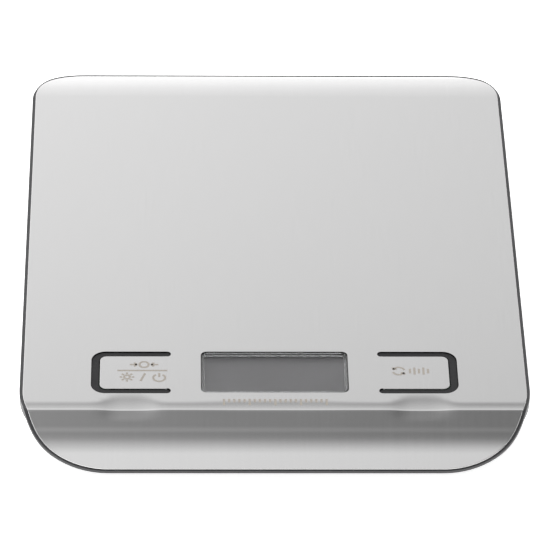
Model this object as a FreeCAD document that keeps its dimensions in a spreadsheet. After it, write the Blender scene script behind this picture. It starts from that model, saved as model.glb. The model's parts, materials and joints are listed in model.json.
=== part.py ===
import FreeCAD, Part
import math
import os
import re

import Sketcher
from FreeCAD import Rotation, Vector

# Slim kitchen scale: a brushed steel platform over a dark housing, with a display behind a window and two
# spring keys cut out of the platform's front. Millimetres; the origin is under the middle of the scale on
# the table, +Z up, the front faces -Y and X is the width.

SIZES = {
    # housing outline
    "overall_width": 180.0,
    "overall_depth": 230.0,
    "overall_height": 16.0,
    "front_corner": 31.5,
    "rear_corner": 19.5,
    "plate_side_inset": 1.2,
    "plate_front_inset": 0.3,
    "plate_rear_inset": 0.3,
    # the platform's section from front to rear
    "lip_height": 4.9,
    "lip_run": 6.5,
    "lip_angle": 17.0,
    "hollow_radius": 26.0,
    "step_angle": 38.0,
    "brow_radius": 3.0,
    "tail_angle": 20.0,
    "tail_radius": 48.0,
    "overrun": 1.0,
    # layers under the platform's face
    "plate_gauge": 0.5,
    "film_gauge": 0.2,
    "film_inset": 2.0,
    "frame_wall": 1.2,
    "lip_wall": 0.9,
    "side_wall": 1.8,
    "front_wall": 4.0,
    # base shell
    "ground_gap": 2.2,
    "seam_height": 12.0,
    "boss_seam": 8.0,
    "floor_gauge": 1.6,
    "foot_inset": 8.0,
    "seam_inset": 0.6,
    "lip_overhang": 9.0,
    # keys
    "slot_inner": 38.15,
    "slot_outer": 64.7,
    "slot_front": -86.2,
    "slot_rear": -62.8,
    "slot_arm": 2.5,
    "slot_bar": 2.9,
    "slot_corner": 4.9,
    "tab_gap": 0.05,
    "seal_edge_gap": 0.1,
    "seal_tab_gap": 0.35,
    "seal_height": 0.35,
    "film_key_gap": 1.0,
    "key_line": 55.5,
    "key_row": -74.5,
    "post_radius": 1.5,
    "post_pad_radius": 3.0,
    "post_pad_height": 0.5,
    "switch_size": 6.0,
    "switch_body": 3.5,
    "switch_height": 4.3,
    "switch_bore": 1.8,
    "switch_bore_depth": 2.0,
    "plunger_radius": 1.75,
    "plunger_length": 2.3,
    "key_clearance": 0.05,
    "switch_leg_width": 0.8,
    "switch_leg_gauge": 0.2,
    "switch_leg_pitch": 4.5,
    "switch_leg_run": 1.0,
    # display
    "window_half_width": 25.9,
    "window_front": -85.7,
    "window_rear": -62.8,
    "window_corner": 2.0,
    "lens_margin": 1.7,
    "lens_fit": 0.2,
    "bezel_half_width": 30.4,
    "bezel_front": -87.2,
    "bezel_rear": -60.1,
    "bezel_wall": 0.7,
    "bezel_lip": 0.5,
    "glass_half_width": 29.0,
    "glass_front": -86.4,
    "glass_rear": -61.5,
    "glass_base": 9.8,
    "glass_gauge": 2.2,
    "polarizer_gauge": 0.2,
    "polarizer_inset": 0.4,
    "backlight_inset": 3.0,
    "zebra_width": 1.8,
    # circuit board
    "board_width": 128.0,
    "board_front": -88.0,
    "board_rear": -58.0,
    "board_base": 8.0,
    "board_gauge": 1.2,
    "board_screw_inner": 33.0,
    "board_screw_outer": 60.0,
    "board_screw_rear": -60.6,
    "board_screw_front": -85.6,
    "board_boss_radius": 2.3,
    "small_screw_radius": 0.9,
    "small_screw_hole": 1.1,
    "small_screw_head": 1.9,
    "small_head_height": 0.9,
    "small_screw_length": 4.2,
    "chip_radius": 5.0,
    "chip_height": 1.2,
    "chip_taper": 0.7,
    "chip_line": 43.5,
    "crystal_length": 8.0,
    "crystal_width": 3.2,
    "crystal_height": 2.4,
    "crystal_offset": 6.0,
    "component_pitch": 2.5,
    "resistor_width": 1.2,
    "resistor_length": 2.0,
    "resistor_height": 0.5,
    "capacitor_radius": 0.8,
    "capacitor_height": 1.4,
    "capacitor_offset": 5.0,
    # feet and load cells
    "foot_line": 60.0,
    "foot_front": -74.0,
    "foot_rear": 84.0,
    "pad_radius": 10.0,
    "pad_height": 1.2,
    "pad_socket_gap": 0.1,
    "pad_socket_depth": 0.4,
    "pad_round": 0.4,
    "cup_radius": 11.0,
    "cup_top": 3.9,
    "foot_hole_radius": 11.5,
    "flange_radius": 12.7,
    "flange_gauge": 0.5,
    "post_top": 4.48,
    "foot_post_radius": 2.5,
    "ring_inner": 13.0,
    "ring_outer": 15.0,
    "ring_top": 4.8,
    "cell_width": 28.0,
    "cell_gauge": 1.2,
    "cell_slot": 1.4,
    "cell_beam": 9.0,
    "cell_slot_length": 19.0,
    "cell_screw_offset": 11.6,
    "cell_boss_radius": 2.4,
    "cell_screw_length": 3.0,
    "gauge_length": 6.0,
    "gauge_width": 4.0,
    "gauge_gauge": 0.4,
    # wires
    "wire_radius": 0.8,
    "lead_radius": 0.6,
    "wire_height": 6.8,
    "wire_bend": 0.9,
    "rear_wire_line": 50.0,
    "front_wire_line": 64.5,
    "wire_end": -61.5,
    "lead_end": -66.5,
    # batteries
    "battery_row": -25.0,
    "battery_pitch": 10.7,
    "battery_radius": 5.25,
    "battery_length": 43.7,
    "battery_nub": 0.8,
    "battery_nub_radius": 1.9,
    "battery_axis_height": 8.75,
    "bay_half_length": 25.2,
    "bay_half_width": 11.2,
    "bay_wall": 2.0,
    "bay_top": 14.0,
    "contact_gauge": 0.4,
    "contact_width": 8.0,
    "contact_height": 8.0,
    "contact_dimple": 1.2,
    "contact_tab_width": 1.6,
    "spring_radius": 2.6,
    "spring_wire": 0.3,
    "spring_turns": 3.0,
    # battery cover
    "cover_half_length": 28.0,
    "cover_gauge": 1.2,
    "cover_gap": 0.2,
    "cover_seat_gap": 0.1,
    "cover_end_gap": 0.3,
    "cover_rear_lap": 2.3,
    "hinge_y": -37.4,
    "hinge_z": 3.2,
    "hinge_barrel": 1.0,
    "hinge_pin": 0.5,
    "hinge_hole": 0.55,
    "hinge_pin_reach": 1.2,
    "plinth_margin": 2.0,
    "plinth_height": 1.6,
    "latch_width": 12.0,
    "latch_slot": 0.8,
    "latch_length": 7.0,
    "latch_nub": 0.22,
    "grip_radius": 0.35,
    "grip_pitch": 1.8,
    # housing screws
    "case_screw_side": 76.0,
    "case_screw_middle": 20.0,
    "case_screw_front": -42.0,
    "case_screw_rear": 100.0,
    "case_screw_rear_line": 34.0,
    "case_boss_radius": 3.6,
    "case_screw_radius": 1.25,
    "case_screw_hole": 1.45,
    "case_head_radius": 2.5,
    "case_head_hole": 2.8,
    "case_head_height": 1.8,
    "case_shoulder": 5.0,
    "case_screw_reach": 7.6,
    # ribs under the frame's top
    "rib_gauge": 1.2,
    "rib_base": 12.2,
    "rib_line": 30.0,
    "rib_front": -4.0,
    "rib_rear": 100.0,
    "rib_pitch": 41.6,
}

SIDES = (("left", -1), ("right", 1))
CORNERS = (
    ("front_left", -1, "foot_front"),
    ("front_right", 1, "foot_front"),
    ("rear_left", -1, "foot_rear"),
    ("rear_right", 1, "foot_rear"),
)

doc = FreeCAD.newDocument("kitchen_scale")
sheet = doc.addObject("Spreadsheet::Sheet", "dims")
nodes = []


# ---- the sheet and formulas ------------------------------------------------------------------------

def fill_sheet():
    """Write every driving size into the sheet with its name as the alias."""
    for row, (name, size) in enumerate(SIZES.items(), 1):
        sheet.set(f"A{row}", name)
        sheet.set(f"B{row}", str(size))
        sheet.setAlias(f"B{row}", name)
    doc.recompute()


def linked(text):
    """Turn the sheet's names in a formula into references to its cells."""
    return re.sub(r"[a-z_]+", lambda word: f"dims.{word[0]}" if word[0] in SIZES else word[0], str(text))


def worth(text):
    """The present value of a formula."""
    return float(sheet.evalExpression(linked(text)))


def bind(item, **formulas):
    """Bind properties to formulas; a double underscore stands for the dot of a sub-property."""
    for name, text in formulas.items():
        item.setExpression(name.replace("__", "."), linked(text))


def place(item, x="0", y="0", z="0"):
    """Bind where an object stands."""
    bind(item, Placement__Base__x=x, Placement__Base__y=y, Placement__Base__z=z)
    return item


def node(item, label):
    """Give a finished sub-part its name."""
    item.Label = label
    nodes.append(item)
    return item


# ---- sketches and body features --------------------------------------------------------------------

def new_body(name):
    return doc.addObject("PartDesign::Body", f"{name}_body")


def sketch_on(body, role, lift="0"):
    """A sketch on one of a body's origin planes, lifted along the plane's normal."""
    sketch = body.newObject("Sketcher::SketchObject", f"{body.Name}_sketch")
    support = next(item for item in body.Origin.OriginFeatures if item.Role == role)
    sketch.AttachmentSupport = [(support, "")]
    sketch.MapMode = "FlatFace"
    bind(sketch, AttachmentOffset__Base__z=lift)
    return sketch


def arc_between(start, stop, radius, turn):
    """The arc of up to half a circle from start to stop, anticlockwise where turn is 1."""
    chord = stop - start
    rise = math.sqrt(max(radius ** 2 - chord.Length ** 2 / 4, 0))
    centre = (start + stop) / 2 + Vector(-chord.y, chord.x, 0).normalize() * rise * turn
    first, last = (start, stop) if turn > 0 else (stop, start)
    angles = [math.atan2(point.y - centre.y, point.x - centre.x) for point in (first, last)]
    return Part.ArcOfCircle(Part.Circle(centre, Vector(0, 0, 1), radius), *angles)


def trace(sketch, corners):
    """Draw a closed loop and bind its corners. A corner (x, y) runs straight to the next one, and a corner
    (x, y, radius, turn) runs there along an arc, anticlockwise where turn is 1 and clockwise where -1."""
    points = [Vector(worth(corner[0]), worth(corner[1]), 0) for corner in corners]
    ends = []
    for corner, start, stop in zip(corners, points, points[1:] + points[:1]):
        if len(corner) == 2:
            edge = sketch.addGeometry(Part.LineSegment(start, stop))
            ends.append((edge, 1, 2))
            continue
        radius, turn = corner[2:]
        edge = sketch.addGeometry(arc_between(start, stop, worth(radius), turn))
        ends.append((edge, 1, 2) if turn > 0 else (edge, 2, 1))
        constrain(sketch, radius, "Radius", edge)
    for number, corner in enumerate(corners):
        edge, start, stop = ends[number]
        before, _, before_stop = ends[number - 1]
        sketch.addConstraint(Sketcher.Constraint("Coincident", before, before_stop, edge, start))
        constrain(sketch, corner[0], "DistanceX", -1, 1, edge, start)
        constrain(sketch, corner[1], "DistanceY", -1, 1, edge, start)


def constrain(sketch, text, kind, *where):
    """Add a constraint whose size follows a formula."""
    index = sketch.addConstraint(Sketcher.Constraint(kind, *where, worth(text)))
    sketch.setExpression(f"Constraints[{index}]", linked(text))


def ring(sketch, radius, x="0", y="0"):
    """Draw a bound circle."""
    circle = Part.Circle(Vector(worth(x), worth(y), 0), Vector(0, 0, 1), worth(radius))
    edge = sketch.addGeometry(circle)
    constrain(sketch, radius, "Radius", edge)
    constrain(sketch, x, "DistanceX", -1, 1, edge, 3)
    constrain(sketch, y, "DistanceY", -1, 1, edge, 3)


def pad(body, sketch, height, both_ways=False):
    feature = body.newObject("PartDesign::Pad", f"{body.Name}_pad")
    feature.Profile = sketch
    feature.SideType = "Symmetric" if both_ways else "One side"
    bind(feature, Length=height)
    return feature


def pocket_through(body, sketch):
    feature = body.newObject("PartDesign::Pocket", f"{body.Name}_pocket")
    feature.Profile = sketch
    feature.SideType = "Symmetric"
    feature.Type = "ThroughAll"
    return feature


def turned_body(name, corners):
    """A solid of revolution about Z, from its half section (radius, height)."""
    body = new_body(name)
    sketch = sketch_on(body, "XZ_Plane")
    trace(sketch, corners)
    feature = body.newObject("PartDesign::Revolution", f"{name}_turn")
    feature.Profile = sketch
    feature.ReferenceAxis = (sketch, ["V_Axis"])
    feature.Angle = 360
    return body


# ---- primitives and booleans -----------------------------------------------------------------------

def box(name, x, y, z):
    """A block that fills three spans, each given as (from, to)."""
    item = doc.addObject("Part::Box", name)
    spans = [f"({span[1]}) - ({span[0]})" for span in (x, y, z)]
    bind(item, Length=spans[0], Width=spans[1], Height=spans[2])
    return place(item, x[0], y[0], z[0])


def middle(centre, width):
    """The span of a given width about a centre."""
    return (f"({centre}) - ({width}) / 2", f"({centre}) + ({width}) / 2")


def upright(name, radius, x, y, z):
    """A vertical cylinder that fills the span z."""
    item = doc.addObject("Part::Cylinder", name)
    bind(item, Radius=radius, Height=f"({z[1]}) - ({z[0]})")
    return place(item, x, y, z[0])


def lying(name, radius, x, y, z):
    """A cylinder along X that fills the span x."""
    item = doc.addObject("Part::Cylinder", name)
    bind(item, Radius=radius, Height=f"({x[1]}) - ({x[0]})")
    item.Placement.Rotation = Rotation(Vector(0, 1, 0), 90)
    return place(item, x[0], y, z)


def fuse(name, *items):
    joined = doc.addObject("Part::MultiFuse", name)
    joined.Shapes = list(items)
    return joined


def common(name, first, second):
    shared = doc.addObject("Part::Common", name)
    shared.Base = first
    shared.Tool = second
    return shared


def cut(name, base, *tools):
    result = doc.addObject("Part::Cut", name)
    result.Base = base
    result.Tool = tools[0] if len(tools) == 1 else fuse(f"{name}_tools", *tools)
    return result


def group(name, *items):
    """Several like pieces, apart from each other, as one sub-part."""
    held = doc.addObject("Part::Compound", name)
    held.Links = list(items)
    return held


def mirrored(corners, side):
    """The loop itself on the right, and its mirror image across X = 0 on the left."""
    if side > 0:
        return corners
    flipped = []
    for x, y, *bend in corners:
        flipped.append((f"-({x})", y, bend[0], -bend[1]) if bend else (f"-({x})", y))
    return flipped


# ---- the shared section and outlines ---------------------------------------------------------------

LIP = "lip_angle * 1deg"
STEP = "step_angle * 1deg"
TAIL = "tail_angle * 1deg"
NEAR = "(-overall_depth / 2 - overrun)"
FAR = "(overall_depth / 2 + overrun)"
PLATE_FRONT = "(-overall_depth / 2 + plate_front_inset)"
PLATE_REAR = "(overall_depth / 2 - plate_rear_inset)"
LIP_Y = f"({PLATE_FRONT} + lip_run)"
LIP_Z = f"(lip_height + lip_run * tan({LIP}))"
HOLLOW_Y = f"({LIP_Y} + hollow_radius * (sin({STEP}) - sin({LIP})))"
HOLLOW_Z = f"({LIP_Z} + hollow_radius * (cos({LIP}) - cos({STEP})))"
BROW_Z = f"(overall_height - brow_radius * (1 - cos({STEP})))"
BROW_Y = f"({HOLLOW_Y} + ({BROW_Z} - {HOLLOW_Z}) / tan({STEP}))"
FLAT_Y = f"({BROW_Y} + brow_radius * sin({STEP}))"
TAIL_Y = f"({PLATE_REAR} - tail_radius * sin({TAIL}))"
TAIL_Z = f"(overall_height - tail_radius * (1 - cos({TAIL})))"
FILM_DEPTH = "(plate_gauge + film_gauge)"
WALL_DEPTH = "(plate_gauge + film_gauge + frame_wall)"
LIP_DEPTH = "(plate_gauge + film_gauge + lip_wall)"
COVER_EDGE = "(battery_row + bay_half_width + cover_rear_lap)"
FRAME_TOP = f"(overall_height - {FILM_DEPTH})"
FRAME_UNDER = f"(overall_height - {WALL_DEPTH})"
PLATE_UNDER = "(overall_height - plate_gauge)"


def run_back(depth):
    """The platform's section from the front lip to the rear edge, at a depth below the steel's face: a lip
    that rises slightly, a hollow curve, a straight step, a brow, the flat top and a tail that falls away."""
    lip_end = (f"{LIP_Y} + {depth} * sin({LIP})", f"{LIP_Z} - {depth} * cos({LIP})")
    step_end = (f"{BROW_Y} + {depth} * sin({STEP})", f"{BROW_Z} - {depth} * cos({STEP})")
    return [
        (NEAR, f"lip_height - ({PLATE_FRONT} - {NEAR}) * tan({LIP}) - {depth} / cos({LIP})"),
        (*lip_end, f"hollow_radius + {depth}", 1),
        (f"{HOLLOW_Y} + {depth} * sin({STEP})", f"{HOLLOW_Z} - {depth} * cos({STEP})"),
        (*step_end, f"brow_radius - {depth}", -1),
        (FLAT_Y, f"overall_height - {depth}"),
        (TAIL_Y, f"overall_height - {depth}", f"tail_radius - {depth}", -1),
        (f"{PLATE_REAR} - {depth} * sin({TAIL})", f"{TAIL_Z} - {depth} * cos({TAIL})"),
        (FAR, f"{TAIL_Z} - ({FAR} - {PLATE_REAR}) * tan({TAIL}) - {depth} / cos({TAIL})"),
    ]


def run_forward(depth):
    """The same section walked from the rear to the front."""
    corners = run_back(depth)
    walked = []
    for number in range(len(corners) - 1, -1, -1):
        bend = corners[number - 1][2:] if number else ()
        walked.append(corners[number][:2] + ((bend[0], -bend[1]) if bend else ()))
    return walked


def slope_at(depth, height):
    """Where the straight step, at a depth below the steel's face, reaches a height."""
    rise = f"({height} - {HOLLOW_Z} + {depth} * cos({STEP}))"
    return f"{HOLLOW_Y} + {depth} * sin({STEP}) + {rise} / tan({STEP})"


def frame_underside():
    """The frame's lower edge from the rear to the front: level at the seam, then under the step and lip."""
    seam_end = (slope_at(LIP_DEPTH, "seam_height"), "seam_height")
    return [(FAR, "seam_height"), seam_end] + run_forward(LIP_DEPTH)[-3:]


def layer_prism(name, corners):
    """A section in the YZ plane drawn out across more than the scale's width."""
    body = new_body(name)
    sketch = sketch_on(body, "YZ_Plane")
    trace(sketch, corners)
    pad(body, sketch, "overall_width + 2 * overrun", both_ways=True)
    return body


def outline(side, front, rear):
    """The scale's plan with its rounded corners, drawn in by an inset at the sides, front and rear."""
    left, right = f"-overall_width / 2 + {side}", f"overall_width / 2 - {side}"
    low, high = f"-overall_depth / 2 + {front}", f"overall_depth / 2 - {rear}"
    near, far = f"front_corner - {side}", f"rear_corner - {side}"
    return rounded(left, right, low, high, near, far)


def rounded(left, right, low, high, near, far):
    """A rectangle with one corner radius at the front and another at the rear."""
    return [
        (f"{left} + ({near})", low),
        (f"{right} - ({near})", low, near, 1),
        (right, f"{low} + ({near})"),
        (right, f"{high} - ({far})", far, 1),
        (f"{right} - ({far})", high),
        (f"{left} + ({far})", high, far, 1),
        (left, f"{high} - ({far})"),
        (left, f"{low} + ({near})", near, 1),
    ]


def outline_prism(name, side, front, rear):
    """The plan drawn up through the whole height."""
    body = new_body(name)
    sketch = sketch_on(body, "XY_Plane")
    trace(sketch, outline(side, front, rear))
    pad(body, sketch, "overall_height + overrun")
    return body


def drawn_loop(name, corners, z):
    """A closed loop in plan drawn up through the span z."""
    body = new_body(name)
    sketch = sketch_on(body, "XY_Plane", z[0])
    trace(sketch, corners)
    pad(body, sketch, f"({z[1]}) - ({z[0]})")
    return body


# ---- platform, keys and seals ----------------------------------------------------------------------

def key_opening():
    """The C-shaped slot with the key inside it, out to the hinge line where the slot's two arms end."""
    rear_arm, front_arm = "slot_rear - slot_arm", "slot_front + slot_arm"
    return [
        *arm_end(rear_arm, "slot_rear"),
        ("slot_outer - slot_corner", "slot_rear", "slot_corner", -1),
        ("slot_outer", "slot_rear - slot_corner"),
        ("slot_outer", "slot_front + slot_corner", "slot_corner", -1),
        ("slot_outer - slot_corner", "slot_front"),
        *arm_end("slot_front", front_arm),
    ]


def arm_end(low, high):
    """The half-round end of a slot's arm, from one edge to the other, as two quarter turns."""
    cap = f"abs(({high}) - ({low})) / 2"
    return [
        ("slot_inner", low, cap, -1),
        (f"slot_inner - {cap}", f"(({low}) + ({high})) / 2", cap, -1),
        ("slot_inner", high),
    ]


def key_outline():
    """The key: a tongue from the hinge line to the bar of the slot, with two rounded corners."""
    tip, corner = "slot_outer - slot_bar", "(slot_corner - slot_arm)"
    rear, front = "slot_rear - slot_arm", "slot_front + slot_arm"
    return [
        ("slot_inner + tab_gap", front),
        (f"{tip} - {corner}", front, corner, 1),
        (tip, f"{front} + {corner}"),
        (tip, f"{rear} - {corner}", corner, 1),
        (f"{tip} - {corner}", rear),
        ("slot_inner + tab_gap", rear),
    ]


def seal_outline():
    """The strip that fills the slot, clear of the key so that the key can move."""
    rear, front = "slot_rear - seal_edge_gap", "slot_front + seal_edge_gap"
    outer = "slot_outer - seal_edge_gap"
    bend, inner_bend = "(slot_corner - seal_edge_gap)", "(slot_corner - slot_arm + seal_tab_gap)"
    tip = "slot_outer - slot_bar + seal_tab_gap"
    rear_arm, front_arm = "slot_rear - slot_arm + seal_tab_gap", "slot_front + slot_arm - seal_tab_gap"
    return [
        *arm_end(rear_arm, rear),
        (f"{outer} - {bend}", rear, bend, -1),
        (outer, f"{rear} - {bend}"),
        (outer, f"{front} + {bend}", bend, -1),
        (f"{outer} - {bend}", front),
        *arm_end(front, front_arm),
        (f"{tip} - {inner_bend}", front_arm, inner_bend, 1),
        (tip, f"{front_arm} + {inner_bend}"),
        (tip, f"{rear_arm} - {inner_bend}", inner_bend, 1),
        (f"{tip} - {inner_bend}", rear_arm),
    ]


def window_outline(grow="0"):
    """The display window in plan, grown on all sides."""
    left, right = f"-window_half_width - {grow}", f"window_half_width + {grow}"
    low, high = f"window_front - {grow}", f"window_rear + {grow}"
    corner = f"window_corner + {grow}"
    return rounded(left, right, low, high, corner, corner)


def platform_plate():
    """Steel sheet pressed to the section, with the window and the two key openings punched out."""
    body = layer_prism("plate_sheet", run_back("0") + run_forward("plate_gauge"))
    loops = [window_outline()] + [mirrored(key_opening(), way) for _, way in SIDES]
    for loop in loops:
        sketch = sketch_on(body, "XY_Plane", "overall_height")
        trace(sketch, loop)
        pocket_through(body, sketch)
    plan = outline_prism("plate_plan", "plate_side_inset", "plate_front_inset", "plate_rear_inset")
    node(common("platform_plate", body, plan), "platform_plate")


def plate_adhesive():
    """Film that bonds the steel to the frame, open round the window and both keys."""
    sheet_body = layer_prism("film_sheet", run_back("plate_gauge") + run_forward(FILM_DEPTH))
    edges = ("plate_side_inset", "plate_front_inset", "plate_rear_inset")
    insets = [f"({edge} + film_inset)" for edge in edges]
    film = common("film_blank", sheet_body, outline_prism("film_plan", *insets))
    height = (FRAME_UNDER, "overall_height")
    holes = [drawn_loop("film_window", window_outline(), height)]
    for side, way in SIDES:
        across = key_span(way, "slot_inner - slot_arm", "slot_outer + film_key_gap")
        deep = ("slot_front - film_key_gap", "slot_rear + film_key_gap")
        holes.append(box(f"film_key_{side}", across, deep, height))
    node(cut("plate_adhesive", film, *holes), "plate_adhesive")


def key_span(way, inner, outer):
    """A span across one key, given by its distances from the middle of the scale."""
    return (inner, outer) if way > 0 else (f"-({outer})", f"-({inner})")


def keys():
    """Each key with the post under it that presses its switch, and the seal strip round it."""
    for side, way in SIDES:
        tab = drawn_loop(f"tab_{side}", mirrored(key_outline(), way), (PLATE_UNDER, "overall_height"))
        node(tab, f"key_tab_{side}")
        seal_span = (FRAME_TOP, f"{FRAME_TOP} + seal_height")
        seal = drawn_loop(f"seal_{side}", mirrored(seal_outline(), way), seal_span)
        node(seal, f"slot_seal_{side}")
        post_foot = "board_base + board_gauge + switch_height + key_clearance"
        centre = (f"{way} * key_line", "key_row")
        post = upright(f"post_{side}", "post_radius", *centre, (post_foot, PLATE_UNDER))
        flange = upright(f"post_pad_{side}", "post_pad_radius", *centre,
                         (f"{PLATE_UNDER} - post_pad_height", PLATE_UNDER))
        node(fuse(f"key_post_{side}", post, flange), f"key_post_{side}")


# ---- upper frame and base shell --------------------------------------------------------------------

def board_screw_places():
    """The six screws that hold the circuit board up against the frame."""
    rows = ("board_screw_rear", "board_screw_front")
    places = [(f"{way} * board_screw_inner", row) for _, way in SIDES for row in rows]
    return places + [(f"{way} * board_screw_outer", "board_screw_rear") for _, way in SIDES]


def case_screw_places():
    """The six screws that close the housing from below."""
    rows = ("case_screw_middle", "case_screw_front")
    places = [(f"{way} * case_screw_side", row) for _, way in SIDES for row in rows]
    return places + [(f"{way} * case_screw_rear_line", "case_screw_rear") for _, way in SIDES]


def frame_ribs():
    """Ribs that stiffen the frame's top wall behind the battery bay."""
    height = ("rib_base", f"{FRAME_UNDER} + frame_wall / 2")
    ribs = []
    for side, way in SIDES:
        column = middle(f"{way} * rib_line", "rib_gauge")
        ribs.append(box(f"long_rib_{side}", column, ("rib_front", "rib_rear"), height))
    reach = ("-overall_width / 2 + side_wall / 2", "overall_width / 2 - side_wall / 2")
    for number in range(3):
        row = f"rib_front + {number} * rib_pitch"
        ribs.append(box(f"cross_rib_{number}", reach, middle(row, "rib_gauge"), height))
    return ribs


def upper_frame():
    """Dark moulded frame: a wall that follows the steel, a thin rim at the lip and side walls to the seam."""
    outer = common("frame_block", layer_prism("frame_section", run_back(FILM_DEPTH) + frame_underside()),
                   outline_prism("frame_plan", "0", "0", "0"))
    below = "(seam_height - overrun)"
    hollow_section = [(slope_at(WALL_DEPTH, below), below)] + run_back(WALL_DEPTH)[3:] + [(FAR, below)]
    hollow = common("frame_hollow", layer_prism("frame_hollow_section", hollow_section),
                    outline_prism("frame_hollow_plan", "side_wall", "side_wall", "side_wall"))
    shell = cut("frame_shell", outer, hollow)
    top = f"{FRAME_UNDER} + frame_wall / 2"
    bosses = [upright(f"board_boss_{number}", "board_boss_radius", *where, ("board_base + board_gauge", top))
              for number, where in enumerate(board_screw_places())]
    bosses += [upright(f"case_boss_{number}", "case_boss_radius", *where, ("boss_seam", top))
               for number, where in enumerate(case_screw_places())]
    solid = fuse("frame_solid", shell, *bosses, *frame_ribs())
    holes = [drawn_loop("frame_window", window_outline("(lens_margin + lens_fit)"), (FRAME_UNDER, FRAME_TOP))]
    for side, way in SIDES:
        across = key_span(way, "slot_inner - seal_tab_gap", "slot_outer - slot_bar + seal_tab_gap")
        deep = ("slot_front + slot_arm - seal_tab_gap", "slot_rear - slot_arm + seal_tab_gap")
        holes.append(box(f"frame_key_{side}", across, deep, (FRAME_UNDER, FRAME_TOP)))
    small_reach = ("board_base + board_gauge", "board_base + small_screw_length")
    for number, where in enumerate(board_screw_places()):
        holes.append(upright(f"board_pilot_{number}", "small_screw_radius", *where, small_reach))
    for number, where in enumerate(case_screw_places()):
        holes.append(upright(f"case_pilot_{number}", "case_screw_radius", *where,
                             ("boss_seam", "case_shoulder + case_screw_reach")))
    node(cut("upper_frame", solid, *holes), "upper_frame")


def flared_inset(level, low_inset):
    """How far the base's wall stands in at a height: from low_inset at its floor to seam_inset at the seam."""
    return f"({low_inset} - ({low_inset} - seam_inset) * ({level} - ground_gap) / (seam_height - ground_gap))"


def flared(name, low, high, side_extra, front_extra):
    """The base's tub shape between two heights, widening upwards and most of all under the lip; its walls
    are drawn in by an extra gauge, which is larger at the front, where the wall slopes most."""
    body = new_body(name)
    sketches = []
    for level in (low, high):
        inset = f"({flared_inset(level, 'foot_inset')} + {side_extra})"
        front = f"({flared_inset(level, '(foot_inset + lip_overhang)')} + {front_extra})"
        sketch = sketch_on(body, "XY_Plane", level)
        trace(sketch, outline(inset, front, inset))
        sketches.append(sketch)
    loft = body.newObject("PartDesign::AdditiveLoft", f"{name}_loft")
    loft.Profile = sketches[0]
    loft.Sections = [sketches[1]]
    loft.Ruled = True
    return body


def foot_seat(label, way, row):
    """What carries one load cell: a ring round the foot's hole and a screw boss at two of its corners."""
    centre = (f"{way} * foot_line", row)
    rise = ("ground_gap + floor_gauge / 2", "ring_top")
    seat = [upright(f"ring_{label}", "ring_outer", *centre, rise)]
    for number, where in enumerate(cell_screw_places(way, row)):
        seat.append(upright(f"cell_boss_{label}_{number}", "cell_boss_radius", *where, rise))
    holes = [
        upright(f"ring_bore_{label}", "ring_inner", *centre, ("ground_gap + floor_gauge", "ring_top + overrun")),
        upright(f"foot_hole_{label}", "foot_hole_radius", *centre, ("ground_gap - overrun", "ring_top")),
    ]
    for number, where in enumerate(cell_screw_places(way, row)):
        drop = ("ring_top + cell_gauge - cell_screw_length", "ring_top")
        holes.append(upright(f"cell_pilot_{label}_{number}", "small_screw_radius", *where, drop))
    return seat, holes


def cell_screw_places(way, row):
    """Two opposite corners of a load cell: towards the middle of the scale's sides, clear of the wires."""
    slant = "1" if row == "foot_front" else "-1"
    return [(f"{way} * (foot_line + {end} * cell_screw_offset)",
             f"{row} + {end} * {slant} * cell_screw_offset") for end in (-1, 1)]


def battery_bay():
    """The bay for two cells: walls, a plinth round the cover, the opening, and seats for cover and hinge."""
    row_span = middle("battery_row", "2 * bay_half_width")
    wall_x = ("-bay_half_length - bay_wall", "bay_half_length + bay_wall")
    wall_y = middle("battery_row", "2 * (bay_half_width + bay_wall)")
    plinth_x = middle("0", "2 * (cover_half_length + cover_gap + plinth_margin)")
    plinth_y = ("hinge_y - hinge_barrel - cover_end_gap - plinth_margin",
                f"{COVER_EDGE} + cover_end_gap + plinth_margin")
    floor = "(ground_gap + floor_gauge)"
    walls = [
        box("bay_block", wall_x, wall_y, ("ground_gap + cover_gauge + floor_gauge", "bay_top")),
        box("bay_plinth", plinth_x, plinth_y, ("ground_gap + floor_gauge / 2", f"{floor} + plinth_height")),
    ]
    seat_x = ("-cover_half_length - cover_gap", "cover_half_length + cover_gap")
    seat_y = ("hinge_y - hinge_barrel - cover_end_gap", f"{COVER_EDGE} + cover_end_gap")
    knuckle_top = "hinge_z + hinge_barrel + cover_gap"
    below = "ground_gap - overrun"
    lead_window = middle("wire_height", "contact_tab_width + cover_gap")
    holes = [
        box("bay_room", ("-bay_half_length", "bay_half_length"), row_span, (below, "bay_top + overrun")),
        box("cover_seat", seat_x, seat_y, (below, "ground_gap + cover_gauge + cover_seat_gap")),
        box("knuckle_seat", seat_x, (seat_y[0], row_span[0]), (below, knuckle_top)),
        lying("hinge_bore", "hinge_hole",
              middle("0", "2 * (cover_half_length + cover_gap + hinge_pin_reach)"), "hinge_y", "hinge_z"),
    ]
    for way in (-1, 1):
        across = ("-bay_half_length - bay_wall", "-bay_half_length")
        tab_row = middle(f"battery_row + {way} * battery_pitch / 2", "contact_tab_width + cover_gap")
        holes.append(box(f"lead_window_{way + 1}", across, tab_row, lead_window))
    return walls, holes


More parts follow.
